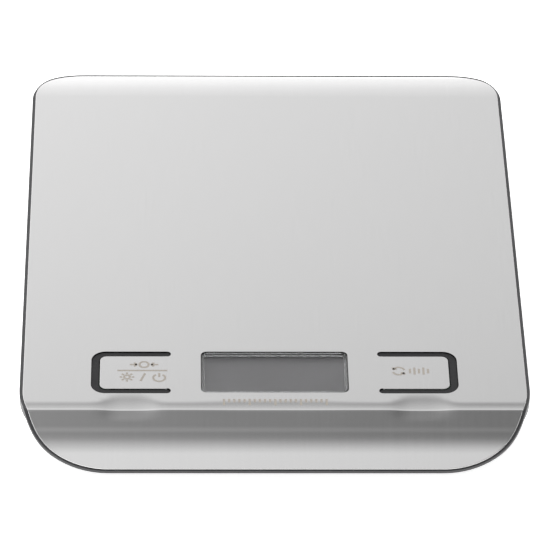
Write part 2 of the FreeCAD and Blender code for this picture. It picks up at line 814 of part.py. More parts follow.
def base_shell():
    """Dark moulded tub: a floor on which everything stands, with flared walls up to the frame's underside."""
    section = frame_underside() + [(NEAR, "0"), (FAR, "0")]
    tub = common("base_block", flared("base_flare", "ground_gap", "seam_height", "0", "0"),
                 layer_prism("base_section", section))
    room = flared("base_room", "(ground_gap + floor_gauge)", "(seam_height + overrun)", "side_wall", "front_wall")
    shell = cut("base_tub", tub, room)
    walls, holes = battery_bay()
    for label, way, row in CORNERS:
        seat, seat_holes = foot_seat(label, way, row)
        walls += seat
        holes += seat_holes
    for number, where in enumerate(case_screw_places()):
        walls.append(upright(f"base_boss_{number}", "case_boss_radius", *where,
                             ("ground_gap + floor_gauge / 2", "boss_seam")))
        head_span, shank_span = ("ground_gap - overrun", "case_shoulder"), ("case_shoulder", "boss_seam")
        holes.append(upright(f"head_hole_{number}", "case_head_hole", *where, head_span))
        holes.append(upright(f"shank_hole_{number}", "case_screw_hole", *where, shank_span))
    node(cut("base_shell", fuse("base_solid", shell, *walls), *holes), "base_shell")


# ---- display ---------------------------------------------------------------------------------------

def display():
    """The window, the bezel that lines the recess, the glass, its polarizer, reflector and connector strip."""
    node(drawn_loop("lens", window_outline("lens_margin"), (FRAME_UNDER, FRAME_TOP)), "display_window")
    display_bezel()
    glass_top = "(glass_base + glass_gauge)"
    glass_x, glass_y = ("-glass_half_width", "glass_half_width"), ("glass_front", "glass_rear")
    node(box("lcd_cell", glass_x, glass_y, ("glass_base", glass_top)), "lcd_cell")
    node(box("lcd_polarizer", drawn_in(glass_x, "polarizer_inset"), drawn_in(glass_y, "polarizer_inset"),
             (glass_top, f"{glass_top} + polarizer_gauge")), "lcd_polarizer")
    gap = ("board_base + board_gauge", "glass_base")
    node(box("lcd_reflector", drawn_in(glass_x, "backlight_inset"), drawn_in(glass_y, "backlight_inset"), gap),
         "lcd_reflector")
    strip = ("glass_front", "glass_front + zebra_width")
    node(box("zebra_connector", drawn_in(glass_x, "backlight_inset"), strip, gap), "zebra_connector")


def drawn_in(span, inset):
    """A span made shorter by an inset at both ends."""
    return (f"{span[0]} + {inset}", f"{span[1]} - {inset}")


def display_bezel():
    """A dark box round the glass with a flange over its edge; its upper opening is the recess one sees."""
    board_top = "board_base + board_gauge"
    ledge = "glass_base + glass_gauge + polarizer_gauge"
    around_x, around_y = ("-bezel_half_width", "bezel_half_width"), ("bezel_front", "bezel_rear")
    block = box("bezel_block", around_x, around_y, (board_top, FRAME_UNDER))
    pocket = box("bezel_pocket", drawn_in(around_x, "bezel_wall"), drawn_in(around_y, "bezel_wall"),
                 (board_top, ledge))
    opening = drawn_loop("bezel_opening", window_outline("bezel_lip"), (board_top, FRAME_UNDER))
    node(cut("display_bezel", block, pocket, opening), "display_bezel")


# ---- circuit board ---------------------------------------------------------------------------------

def circuit_board():
    """The board that carries the display, both key switches and the measuring electronics."""
    span = ("board_base", "board_base + board_gauge")
    blank = box("board_blank", middle("0", "board_width"), ("board_front", "board_rear"), span)
    holes = [upright(f"board_hole_{number}", "small_screw_hole", *where, span)
             for number, where in enumerate(board_screw_places())]
    node(cut("circuit_board", blank, *holes), "circuit_board")
    blob = doc.addObject("Part::Cone", "chip_blob")
    bind(blob, Radius1="chip_radius", Radius2="chip_radius * chip_taper", Height="chip_height")
    place(blob, "-chip_line", "key_row", "board_base + board_gauge")
    node(blob, "controller_chip")
    board_components()


def board_components():
    """Small parts beside the right key's switch: a crystal can, capacitors and resistors in a row."""
    top = "board_base + board_gauge"
    parts = [box("crystal", middle("chip_line", "crystal_length"),
                 middle("key_row + crystal_offset", "crystal_width"), (top, f"{top} + crystal_height"))]
    for step in range(-2, 3):
        column = f"chip_line + {step} * component_pitch"
        parts.append(box(f"resistor_{step + 2}", middle(column, "resistor_width"),
                         middle("key_row", "resistor_length"), (top, f"{top} + resistor_height")))
        parts.append(upright(f"capacitor_{step + 2}", "capacitor_radius", column, "key_row - capacitor_offset",
                             (top, f"{top} + capacitor_height")))
    node(group("board_components", *parts), "board_components")


def switches():
    """A push switch under each key: a square body with two pairs of legs, and a round plunger in its bore."""
    board_top = "board_base + board_gauge"
    for side, way in SIDES:
        x, y = f"{way} * key_line", "key_row"
        square = box(f"switch_block_{side}", middle(x, "switch_size"), middle(y, "switch_size"),
                     (board_top, f"{board_top} + switch_body"))
        bore = upright(f"switch_bore_{side}", "switch_bore", x, y,
                       (f"{board_top} + switch_body - switch_bore_depth", f"{board_top} + switch_body"))
        legs = []
        for end in (-1, 1):
            leg_row = middle(f"{y} + {end} * switch_leg_pitch / 2", "switch_leg_width")
            across = middle(x, "switch_size + 2 * switch_leg_run")
            legs.append(box(f"switch_legs_{side}_{end + 1}", across, leg_row,
                            (board_top, f"{board_top} + switch_leg_gauge")))
        body = cut(f"switch_bored_{side}", square, bore)
        node(fuse(f"switch_body_{side}", body, *legs), f"switch_body_{side}")
        top = f"{board_top} + switch_height"
        node(upright(f"plunger_{side}", "plunger_radius", x, y, (f"{top} - plunger_length", top)),
             f"switch_plunger_{side}")


def screw_section(head_radius, head_height, shank_radius, length):
    """A pan-head screw's half section with its head below and its shank pointing up."""
    return [
        ("0", f"-({head_height})"),
        (f"({head_radius}) - ({head_height}) / 2", f"-({head_height})"),
        (head_radius, f"-({head_height}) / 2"),
        (head_radius, "0"),
        (shank_radius, "0"),
        (shank_radius, f"({length}) - ({shank_radius}) / 2"),
        (f"({shank_radius}) / 2", length),
        ("0", length),
    ]


def screw_set(label, places, seat, section, upside_down=False):
    """One group of like screws; each head bears on the seat's height."""
    screws = []
    for number, (x, y) in enumerate(places):
        screw = turned_body(f"{label}_{number}", section)
        if upside_down:
            screw.Placement.Rotation = Rotation(Vector(1, 0, 0), 180)
        screws.append(place(screw, x, y, seat))
    node(group(label, *screws), label)


def fasteners():
    """Screws of the housing, the board and the load cells."""
    case = screw_section("case_head_radius", "case_head_height", "case_screw_radius", "case_screw_reach")
    screw_set("housing_screws", case_screw_places(), "case_shoulder", case)
    board = screw_section("small_screw_head", "small_head_height", "small_screw_radius", "small_screw_length")
    screw_set("board_screws", board_screw_places(), "board_base", board)
    cell = screw_section("small_screw_head", "small_head_height", "small_screw_radius", "cell_screw_length")
    places = [where for _, way, row in CORNERS for where in cell_screw_places(way, row)]
    screw_set("load_cell_screws", places, "ring_top + cell_gauge", cell, upside_down=True)


# ---- feet and load cells ---------------------------------------------------------------------------

def foot_cup_section():
    """Half section of a foot: a socket for the pad below, a flange that keeps it in, and a centre post."""
    socket = "pad_radius + pad_socket_gap"
    low, roof = "pad_height - pad_socket_depth", "pad_height"
    return [
        ("0", roof),
        (socket, roof),
        (socket, low),
        ("cup_radius", low),
        ("cup_radius", "cup_top"),
        ("flange_radius", "cup_top"),
        ("flange_radius", "cup_top + flange_gauge"),
        ("foot_post_radius", "cup_top + flange_gauge"),
        ("foot_post_radius", "post_top"),
        ("0", "post_top"),
    ]


def foot_pad_section():
    """Half section of the rubber pad, rounded at its lower edge."""
    return [
        ("0", "0"),
        ("pad_radius - pad_round", "0", "pad_round", 1),
        ("pad_radius", "pad_round"),
        ("pad_radius", "pad_height"),
        ("0", "pad_height"),
    ]


def load_cell(label, way, row):
    """A stamped steel plate: two slots beside a centre beam and one across its end leave a bending tongue."""
    x, y = f"{way} * foot_line", row
    span = ("ring_top", "ring_top + cell_gauge")
    blank = box(f"cell_blank_{label}", middle(x, "cell_width"), middle(y, "cell_width"), span)
    cuts = []
    for end in (-1, 1):
        column = middle(f"{x} + {end} * (cell_beam + cell_slot) / 2", "cell_slot")
        cuts.append(box(f"cell_slot_{label}_{end + 1}", column, middle(y, "cell_slot_length"), span))
    end_row = middle(f"{y} - (cell_slot_length - cell_slot) / 2", "cell_slot")
    cuts.append(box(f"cell_end_{label}", middle(x, "cell_beam + 2 * cell_slot"), end_row, span))
    for number, where in enumerate(cell_screw_places(way, row)):
        cuts.append(upright(f"cell_hole_{label}_{number}", "small_screw_hole", *where, span))
    node(cut(f"load_cell_{label}", blank, *cuts), f"load_cell_{label}")


def feet():
    """Four feet, each under its own load cell with a strain gauge on the bending tongue."""
    gauges = []
    for label, way, row in CORNERS:
        x = f"{way} * foot_line"
        node(place(turned_body(f"cup_{label}", foot_cup_section()), x, row), f"foot_cup_{label}")
        node(place(turned_body(f"pad_{label}", foot_pad_section()), x, row), f"foot_pad_{label}")
        load_cell(label, way, row)
        patch = ("ring_top + cell_gauge", "ring_top + cell_gauge + gauge_gauge")
        gauge_row = middle(f"{row} + cell_beam / 2", "gauge_length")
        gauges.append(box(f"gauge_{label}", middle(x, "gauge_width"), gauge_row, patch))
    node(group("strain_gauges", *gauges), "strain_gauges")


# ---- wires -----------------------------------------------------------------------------------------

def wire(name, radius, x, start, end):
    """A wire that lies level from the row start to the row end and turns up there to the board."""
    turn = -1 if worth(end) < worth(start) else 1
    turn_in = f"({end}) - ({turn}) * wire_bend"
    bend_top = "wire_height + wire_bend"
    stops = ((start, "wire_height"), (turn_in, "wire_height"), (end, bend_top), (end, "board_base"))
    points = [Vector(worth(row), worth(height), 0) for row, height in stops]
    body = new_body(name)
    path = sketch_on(body, "YZ_Plane", x)
    level = path.addGeometry(Part.LineSegment(points[0], points[1]))
    curve = path.addGeometry(arc_between(points[1], points[2], worth("wire_bend"), turn))
    rise = path.addGeometry(Part.LineSegment(points[2], points[3]))
    first, last = (1, 2) if turn > 0 else (2, 1)
    path.addConstraint(Sketcher.Constraint("Coincident", level, 2, curve, first))
    path.addConstraint(Sketcher.Constraint("Coincident", curve, last, rise, 1))
    constrain(path, "wire_bend", "Radius", curve)
    for (row, height), edge, point in zip(stops, (level, level, rise, rise), (1, 2, 1, 2)):
        constrain(path, row, "DistanceX", -1, 1, edge, point)
        constrain(path, height, "DistanceY", -1, 1, edge, point)
    profile = sketch_on(body, "XZ_Plane", f"-({start})")
    ring(profile, radius, x, "wire_height")
    pipe = body.newObject("PartDesign::AdditivePipe", f"{name}_pipe")
    pipe.Profile = profile
    pipe.Spine = path
    return body


def wires():
    """Wires from the load cells and the battery contacts to the board."""
    for label, way, row in CORNERS:
        rear = row == "foot_rear"
        column = f"{way} * {'rear_wire_line' if rear else 'front_wire_line'}"
        start = f"{row} - cell_width / 4" if rear else f"{row} - cell_beam / 2"
        node(wire(f"wire_{label}", "wire_radius", column, start, "wire_end" if rear else "lead_end"),
             f"load_cell_lead_{label}")
    for label, way in (("red", 1), ("black", -1)):
        start = f"battery_row + {way} * battery_pitch / 2 + contact_tab_width / 2"
        node(wire(f"lead_{label}", "lead_radius", lead_line(way), start, "lead_end"), f"battery_lead_{label}")


def lead_line(way):
    """Where a battery lead runs: each lies against the end of its own contact's tab."""
    reach = "4.5 * lead_radius" if way > 0 else "2 * lead_radius"
    return f"(-bay_half_length - bay_wall - {reach})"


# ---- batteries and their contacts ------------------------------------------------------------------

def batteries():
    """Two AAA cells side by side, head to tail."""
    for number, way in ((1, 1), (2, -1)):
        row = f"battery_row + {way} * battery_pitch / 2"
        centre = f"(-{way} * (bay_half_length - contact_gauge - contact_dimple - battery_nub - battery_length / 2))"
        half = "(battery_length / 2)"
        span = (f"{centre} - {half}", f"{centre} + {half}")
        can = lying(f"can_{number}", "battery_radius", span, row, "battery_axis_height")
        ends = (f"{centre} - {way} * {half}", f"{centre} - {way} * ({half} + battery_nub)")
        nub = lying(f"nub_{number}", "battery_nub_radius", ends[::-way], row, "battery_axis_height")
        node(fuse(f"battery_{number}", can, nub), f"battery_{number}")


def contact_plate(name, end, rows):
    """A contact plate on one end wall of the bay, behind the cells of the given rows."""
    wall = f"{end} * bay_half_length"
    inner = f"{end} * (bay_half_length - contact_gauge)"
    span = (wall, inner) if end < 0 else (inner, wall)
    low, high = rows[0], rows[-1]
    across = (f"battery_row + {low} * battery_pitch / 2 - contact_width / 2",
              f"battery_row + {high} * battery_pitch / 2 + contact_width / 2")
    return box(name, span, across, middle("battery_axis_height", "contact_height"))


def contact_button(name, end, row):
    """The raised button that a cell's positive end rests on."""
    inner = f"{end} * (bay_half_length - contact_gauge)"
    tip = f"{end} * (bay_half_length - contact_gauge - contact_dimple)"
    span = (inner, tip) if end < 0 else (tip, inner)
    line = f"battery_row + {row} * battery_pitch / 2"
    return lying(name, "battery_nub_radius", span, line, "battery_axis_height")


def contact_tab(name, way):
    """A tab through the bay's end wall to the side of a battery lead."""
    span = (f"{lead_line(way)} + lead_radius", "-bay_half_length")
    return box(name, span, middle(f"battery_row + {way} * battery_pitch / 2", "contact_tab_width"),
               middle("wire_height", "contact_tab_width"))


def battery_contacts():
    """Positive and negative contacts at the left end, a bridge at the right end, and two coil springs."""
    positive = fuse("contact_plus", contact_plate("plus_plate", -1, (1,)), contact_button("plus_button", -1, 1),
                    contact_tab("plus_tab", 1))
    node(positive, "battery_contact_positive")
    negative = fuse("contact_minus", contact_plate("minus_plate", -1, (-1,)), contact_tab("minus_tab", -1))
    node(negative, "battery_contact_negative")
    bridge = fuse("contact_bridge", contact_plate("bridge_plate", 1, (-1, 1)),
                  contact_button("bridge_button", 1, -1))
    node(bridge, "battery_contact_bridge")
    for number, end, row in ((1, 1, 1), (2, -1, -1)):
        node(battery_spring(number, end, row), f"battery_spring_{number}")


def battery_spring(number, end, row):
    """A coil spring between a contact plate and a cell's flat end. Every quarter turn is an arc."""
    gauge = worth("spring_wire")
    radius = worth("spring_radius")
    length = worth("2 * (bay_half_length - contact_gauge - spring_wire)"
                   " - battery_length - battery_nub - contact_dimple")
    pitch = length / worth("spring_turns")

    def on_coil(turns):
        angle = 2 * math.pi * turns
        return Vector(radius * math.cos(angle), radius * math.sin(angle), pitch * turns)

    quarters = [count / 4 for count in range(round(4 * worth("spring_turns")))]
    arcs = [Part.Arc(on_coil(turns), on_coil(turns + 0.125), on_coil(turns + 0.25)) for turns in quarters]
    heading = Vector(0, 2 * math.pi * radius, pitch)
    section = Part.Circle(on_coil(0), heading, gauge)
    coil = doc.addObject("Part::Feature", f"spring_{number}")
    spine = Part.Wire([arc.toShape() for arc in arcs])
    coil.Shape = spine.makePipeShell([Part.Wire([section.toShape()])], True, False)
    coil.Placement.Rotation = Rotation(Vector(0, 1, 0), -90 * end)
    return place(coil, f"{end} * (bay_half_length - contact_gauge - spring_wire)",
                 f"battery_row + {row} * battery_pitch / 2", "battery_axis_height")


# ---- battery cover ---------------------------------------------------------------------------------

def battery_cover():
    """The cover of the bay: it turns on two short pins at its front edge and has a spring latch behind."""
    edge = COVER_EDGE
    top = "ground_gap + cover_gauge"
    half = "cover_half_length"
    lid = box("cover_lid", (f"-{half}", half), ("hinge_y", edge), ("ground_gap", top))
    barrel = lying("cover_barrel", "hinge_barrel", (f"-{half}", half), "hinge_y", "hinge_z")
    pin_span = middle("0", f"2 * ({half} + hinge_pin_reach - cover_gap)")
    pins = lying("cover_pins", "hinge_pin", pin_span, "hinge_y", "hinge_z")
    nub = box("latch_nub", middle("0", "latch_width - 4 * latch_slot"), (edge, f"{edge} + latch_nub"),
              (f"{top} - cover_gauge / 2", top))
    slots = [box(f"latch_slot_{side}", middle(f"{way} * latch_width / 2", "latch_slot"),
                 (f"{edge} - latch_length", f"{edge} + overrun"), ("ground_gap", top)) for side, way in SIDES]
    scoops = [lying(f"scoop_{number}", "grip_radius", middle("0", "latch_width - 4 * latch_slot"),
                    f"{edge} - grip_pitch * {number + 1}", "ground_gap") for number in range(3)]
    solid = fuse("cover_solid", lid, barrel, pins, nub)
    node(cut("battery_cover", solid, *slots, *scoops), "battery_cover")


# ---- check and write -------------------------------------------------------------------------------

def check_document():
    """Stop on any failed object and on any empty or invalid sub-part."""
    failed = [item.Name for item in doc.Objects if {"Invalid", "Error"} & set(item.State)]
    assert not failed, f"failed objects: {failed}"
    for item in nodes:
        assert not item.Shape.isNull() and item.Shape.isValid(), f"bad shape: {item.Label}"


def write_nodes():
    """Write each sub-part to a file named after it."""
    os.makedirs("parts", exist_ok=True)
    for item in nodes:
        item.Shape.exportStep(f"parts/{item.Label}.step")
        print(f"{item.Label:28s} solids {len(item.Shape.Solids)}  volume {item.Shape.Volume:10.1f}")
    print(f"{len(nodes)} sub-parts")


fill_sheet()
platform_plate()
plate_adhesive()
keys()
upper_frame()
base_shell()
display()
circuit_board()
switches()
fasteners()
feet()
wires()
batteries()
battery_contacts()
battery_cover()
doc.recompute()
check_document()
write_nodes()
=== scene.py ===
import json
import math

import bpy
import numpy as np
from mathutils import Matrix, Vector
from mathutils.geometry import delaunay_2d_cdt


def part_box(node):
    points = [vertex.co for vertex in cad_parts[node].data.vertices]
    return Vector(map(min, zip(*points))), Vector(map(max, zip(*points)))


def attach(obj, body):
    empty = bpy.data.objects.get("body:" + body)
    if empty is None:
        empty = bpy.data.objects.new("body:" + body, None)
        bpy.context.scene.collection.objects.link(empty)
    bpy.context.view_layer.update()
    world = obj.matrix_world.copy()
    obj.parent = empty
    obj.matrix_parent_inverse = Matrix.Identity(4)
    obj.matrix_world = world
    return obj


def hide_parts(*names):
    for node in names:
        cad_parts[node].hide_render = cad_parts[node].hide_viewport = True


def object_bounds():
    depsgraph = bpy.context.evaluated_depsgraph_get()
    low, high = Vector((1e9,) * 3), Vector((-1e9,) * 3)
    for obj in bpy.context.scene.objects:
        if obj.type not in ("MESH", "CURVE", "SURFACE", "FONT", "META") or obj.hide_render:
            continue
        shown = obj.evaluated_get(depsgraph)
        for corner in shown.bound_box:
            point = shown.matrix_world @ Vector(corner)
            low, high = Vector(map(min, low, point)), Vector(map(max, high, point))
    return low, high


# The looks of a slim kitchen scale, in metres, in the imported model's frame: +Z up, the front faces -Y.

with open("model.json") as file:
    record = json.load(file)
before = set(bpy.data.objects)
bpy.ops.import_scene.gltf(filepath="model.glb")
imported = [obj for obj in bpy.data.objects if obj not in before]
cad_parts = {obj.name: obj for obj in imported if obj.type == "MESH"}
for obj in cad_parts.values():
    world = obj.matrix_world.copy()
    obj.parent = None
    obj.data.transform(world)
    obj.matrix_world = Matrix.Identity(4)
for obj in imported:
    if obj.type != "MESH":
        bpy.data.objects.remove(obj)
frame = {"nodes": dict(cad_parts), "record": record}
CAD_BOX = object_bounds()
MM = 0.001
NEARLY = 0.001 * MM
SIDES = (("left", -1), ("right", 1))

# ---- the platform's sizes --------------------------------------------------------------------------

PLATE_LOW, PLATE_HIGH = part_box("platform_plate")
KEY_LOW, KEY_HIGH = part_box("key_tab_right")
TOP = PLATE_HIGH.z
FRONT_Y, REAR_Y = PLATE_LOW.y, PLATE_HIGH.y
HALF_WIDTH = PLATE_HIGH.x
GAUGE = 0.5 * MM
EDGE = 0.2 * MM
FRONT_CORNER = 30.3 * MM
REAR_CORNER = 18.3 * MM

LIP_HEIGHT = 4.9 * MM
LIP_RUN = 5.9 * MM
LIP_ANGLE = math.radians(17)
HOLLOW_RADIUS = 26 * MM
STEP_ANGLE = math.radians(42)
BROW_RADIUS = 1.8 * MM
EASE_ANGLE = math.radians(8)
EASE_RADIUS = 28 * MM
TAIL_ANGLE = math.radians(20)
TAIL_RADIUS = 48 * MM

# a slot has two arms, one each side of its key, and a bar along the key's outer end
SLOT_ARM = 2.5 * MM
SLOT_BAR = 2.9 * MM
SLOT_CORNER = 4.9 * MM
HINGE_X = 38.15 * MM
HINGE_GAP = 0.012 * MM
SLOT_FRONT = KEY_LOW.y - SLOT_ARM
SLOT_REAR = KEY_HIGH.y + SLOT_ARM
SLOT_OUTER = KEY_HIGH.x + SLOT_BAR

WINDOW_X = 25.9 * MM
WINDOW_FRONT = -85.7 * MM
WINDOW_REAR = -62.8 * MM
WINDOW_CORNER = 2 * MM


# ---- the pressed section ---------------------------------------------------------------------------

def arc_height(centre_y, centre_z, radius, way):
    """The height over y of an arc that is hollow where way is -1 and crowned where it is 1."""
    return lambda y: centre_z + way * math.sqrt(max(radius ** 2 - (y - centre_y) ** 2, 0))


def line_height(start_y, start_z, angle):
    """The height over y of a straight slope."""
    return lambda y: start_z + (y - start_y) * math.tan(angle)


def pressed_section():
    """The upper face's stretches from front to rear, as (end, height over y), and where its bends lie."""
    lip_y = FRONT_Y + LIP_RUN
    lip_z = LIP_HEIGHT + LIP_RUN * math.tan(LIP_ANGLE)
    hollow_y = lip_y + HOLLOW_RADIUS * (math.sin(STEP_ANGLE) - math.sin(LIP_ANGLE))
    hollow_z = lip_z + HOLLOW_RADIUS * (math.cos(LIP_ANGLE) - math.cos(STEP_ANGLE))
    ease_z = TOP - EASE_RADIUS * (1 - math.cos(EASE_ANGLE))
    brow_z = ease_z - BROW_RADIUS * (math.cos(EASE_ANGLE) - math.cos(STEP_ANGLE))
    brow_y = hollow_y + (brow_z - hollow_z) / math.tan(STEP_ANGLE)
    ease_y = brow_y + BROW_RADIUS * (math.sin(STEP_ANGLE) - math.sin(EASE_ANGLE))
    flat_y = ease_y + EASE_RADIUS * math.sin(EASE_ANGLE)
    tail_y = REAR_Y - TAIL_RADIUS * math.sin(TAIL_ANGLE)
    hollow = arc_height(lip_y - HOLLOW_RADIUS * math.sin(LIP_ANGLE),
                        lip_z + HOLLOW_RADIUS * math.cos(LIP_ANGLE), HOLLOW_RADIUS, -1)
    brow = arc_height(ease_y + BROW_RADIUS * math.sin(EASE_ANGLE),
                      ease_z - BROW_RADIUS * math.cos(EASE_ANGLE), BROW_RADIUS, 1)
    stretches = [
        (lip_y, line_height(FRONT_Y, LIP_HEIGHT, LIP_ANGLE)),
        (hollow_y, hollow),
        (brow_y, line_height(hollow_y, hollow_z, STEP_ANGLE)),
        (ease_y, brow),
        (flat_y, arc_height(flat_y, TOP - EASE_RADIUS, EASE_RADIUS, 1)),
        (tail_y, lambda y: TOP),
        (REAR_Y + MM, arc_height(tail_y, TOP - TAIL_RADIUS, TAIL_RADIUS, 1)),
    ]
    return stretches, (hollow_y, brow_y, ease_y, flat_y, tail_y)


SECTION, (HOLLOW_Y, BROW_Y, EASE_Y, FLAT_Y, TAIL_Y) = pressed_section()

# the sheet gives a little in front of each key and of the window: (middle, half width, reach to the rear)
DIMPLES = (
    (-51.5 * MM, 8.8 * MM, 4.8 * MM),
    (51.5 * MM, 8.8 * MM, 4.8 * MM),
    (0, 22 * MM, 1.0 * MM),
)


def smooth(value):
    """0 to 1 with a soft start and end."""
    value = min(max(value, 0), 1)
    return value * value * (3 - 2 * value)


def eased(start, y):
    """How far the sheet has dropped, when its ease begins at start and has its full angle at the brow."""
    return max(start - y, 0) ** 2 * math.sin(EASE_ANGLE) / (2 * (start - EASE_Y))


def dimple_depth(x, y):
    """How far the sheet has given at a point, beyond its plain ease."""
    reach = sum(size * math.exp(-((x - middle) / width) ** 4) for middle, width, size in DIMPLES)
    if y >= FLAT_Y + reach:
        return 0
    at = max(y, EASE_Y)
    depth = eased(FLAT_Y + reach, at) - eased(FLAT_Y, at)
    return depth * smooth((y - HOLLOW_Y) / (EASE_Y - HOLLOW_Y))


def face_height(x, y):
    """The height of the steel's upper face."""
    height = next(over for end, over in SECTION if y <= end)
    return height(y) - dimple_depth(x, y)


def face_normal(x, y):
    """The upper face's normal, from its heights a small step to each side."""
    step = 0.02 * MM
    slope_x = (face_height(x + step, y) - face_height(x - step, y)) / (2 * step)
    slope_y = (face_height(x, y + step) - face_height(x, y - step)) / (2 * step)
    return Vector((-slope_x, -slope_y, 1)).normalized()


# ---- outlines in plan ------------------------------------------------------------------------------

def arc_points(centre, radius, start, sweep, step=0.35 * MM):
    """Points along an arc; its angles are in degrees."""
    count = max(4, round(radius * abs(math.radians(sweep)) / step))
    angles = [math.radians(start + sweep * number / count) for number in range(count + 1)]
    return [Vector((centre[0] + radius * math.cos(a), centre[1] + radius * math.sin(a))) for a in angles]


def polar(radius, angle):
    """A point at an angle in degrees round the origin."""
    return Vector((radius * math.cos(math.radians(angle)), radius * math.sin(math.radians(angle))))


def closed(points, step=0.6 * MM):
    """A loop with its long straight runs divided and no point twice."""
    loop = []
    for start, stop in zip(points, points[1:] + points[:1]):
        length = (stop - start).length
        if length < NEARLY / 10:
            continue
        count = max(1, math.ceil(length / step))
        loop += [start.lerp(stop, number / count) for number in range(count)]
    return loop


def resampled(loop, count):
    """A loop with a given number of evenly spaced points."""
    lengths = [0]
    for start, stop in zip(loop, loop[1:] + loop[:1]):
        lengths.append(lengths[-1] + (stop - start).length)
    points = []
    index = 0
    for number in range(count):
        at = lengths[-1] * number / count
        while lengths[index + 1] < at:
            index += 1
        share = (at - lengths[index]) / (lengths[index + 1] - lengths[index])
        points.append(loop[index].lerp(loop[(index + 1) % len(loop)], share))
    return points


def rounded_box(left, right, low, high, near, far):
    """An anticlockwise box with one radius for its two front corners and one for its rear ones."""
    return closed(
        arc_points((right - near, low + near), near, -90, 90)
        + arc_points((right - far, high - far), far, 0, 90)
        + arc_points((left + far, high - far), far, 90, 90)
        + arc_points((left + near, low + near), near, 180, 90))


def slot_cutout(side):
    """The hole that the plate has for one key: the slot with the key inside it, out to the hinge line."""
    cap = SLOT_ARM / 2
    loop = closed(
        arc_points((HINGE_X, SLOT_FRONT + cap), cap, 90, 180)
        + arc_points((SLOT_OUTER - SLOT_CORNER, SLOT_FRONT + SLOT_CORNER), SLOT_CORNER, -90, 90)
        + arc_points((SLOT_OUTER - SLOT_CORNER, SLOT_REAR - SLOT_CORNER), SLOT_CORNER, 0, 90)
        + arc_points((HINGE_X, SLOT_REAR - cap), cap, 90, 180))
    return on_side(loop, side)


def key_outline(side):
    """One key in plan, from the hinge line to its two rounded corners."""
    corner = SLOT_CORNER - SLOT_ARM
    front, rear, tip = KEY_LOW.y, KEY_HIGH.y, KEY_HIGH.x
    loop = closed(
        [Vector((HINGE_X + HINGE_GAP, rear)), Vector((HINGE_X + HINGE_GAP, front))]
        + arc_points((tip - corner, front + corner), corner, -90, 90)
        + arc_points((tip - corner, rear - corner), corner, 0, 90))
    return on_side(loop, side)


def on_side(loop, side):
    """An anticlockwise loop drawn for the right-hand side, mirrored if it is for the left."""
    if side > 0:
        return loop
    return [Vector((-point.x, point.y)) for point in reversed(loop)]


# ---- sheet metal -----------------------------------------------------------------------------------

# rows of points across the sheet: tight at the brow and front edge, close where it curves, wide elsewhere
TIGHT_ROW = 0.14 * MM
CLOSE_ROW = 0.5 * MM
WIDE_ROW = 3 * MM
TIGHT_EDGE = 0.5 * MM
TIGHT_MARGIN = 0.3 * MM
CLOSE_MARGIN = 4 * MM
PLAN_DIGITS = 8
MERGE_DISTANCE = 1e-9
RIM_TURNS = tuple(math.radians(angle) for angle in (22.5, 45, 67.5, 90))


def outward(loop, hole):
    """Each point's direction out of the steel, and 0 along the hinge line, where plate and key are one."""
    directions = []
    for before, point, after in zip(loop[-1:] + loop[:-1], loop, loop[1:] + loop[:1]):
        along = (after - before).normalized()
        direction = Vector((along.y, -along.x)) * (-1 if hole else 1)
        between_arms = KEY_LOW.y - NEARLY < point.y < KEY_HIGH.y + NEARLY
        at_hinge = between_arms and abs(abs(point.x) - HINGE_X) < HINGE_GAP + NEARLY
        directions.append(Vector((0, 0)) if at_hinge else direction)
    return directions


def inside(points, loops):
    """Which points lie within the loops, by the even-odd rule."""
    found = np.zeros(len(points), bool)
    for loop in loops:
        corners = np.array([tuple(point) for point in loop])
        following = np.roll(corners, -1, 0)
        for (ax, ay), (bx, by) in zip(corners, following):
            if ay == by:
                continue
            crosses = (points[:, 1] > ay) != (points[:, 1] > by)
            reach = ax + (points[:, 1] - ay) * (bx - ax) / (by - ay)
            found ^= crosses & (points[:, 0] < reach)
    return found


def grid_rows(low, high):
    """Rows across the sheet, close together where it bends."""
    rows, y = [], low
    while y < high:
        rows.append(y)
        if y < FRONT_Y + TIGHT_EDGE or BROW_Y - TIGHT_MARGIN < y < EASE_Y + TIGHT_MARGIN:
            y += TIGHT_ROW
        elif y < FLAT_Y + CLOSE_MARGIN or y > TAIL_Y:
            y += CLOSE_ROW
        else:
            y += WIDE_ROW
    return rows


def grid_points(loops, column=2.5 * MM, clearance=0.25 * MM):
    """Points inside a sheet, none of them right beside its edges."""
    edge = np.array([tuple(point) for loop in loops for point in loop])
    low, high = edge.min(0), edge.max(0)
    columns = np.arange(low[0] + column / 2, high[0], column)
    grid = np.array([(x, y) for y in grid_rows(low[1], high[1]) for x in columns])
    grid = grid[inside(grid, loops)]
    far = [np.min(np.abs(edge - point).max(1)) > clearance for point in grid]
    return grid[np.array(far)]


def triangulated(loops):
    """The plan inside the loops as points and triangles; the loops' own points are among them."""
    plan = [point for loop in loops for point in loop]
    edges, start = [], 0
    for loop in loops:
        edges += [(start + k, start + (k + 1) % len(loop)) for k in range(len(loop))]
        start += len(loop)
    plan += [Vector(point) for point in grid_points(loops)]
    points, _, triangles = delaunay_2d_cdt(plan, edges, [], 0, MERGE_DISTANCE, False)[:3]
    centres = np.array([tuple(sum((points[i] for i in face), Vector((0, 0))) / 3) for face in triangles])
    return points, [list(face) for face, keep in zip(triangles, inside(centres, loops)) if keep]


def plan_key(point):
    return round(point.x, PLAN_DIGITS), round(point.y, PLAN_DIGITS)


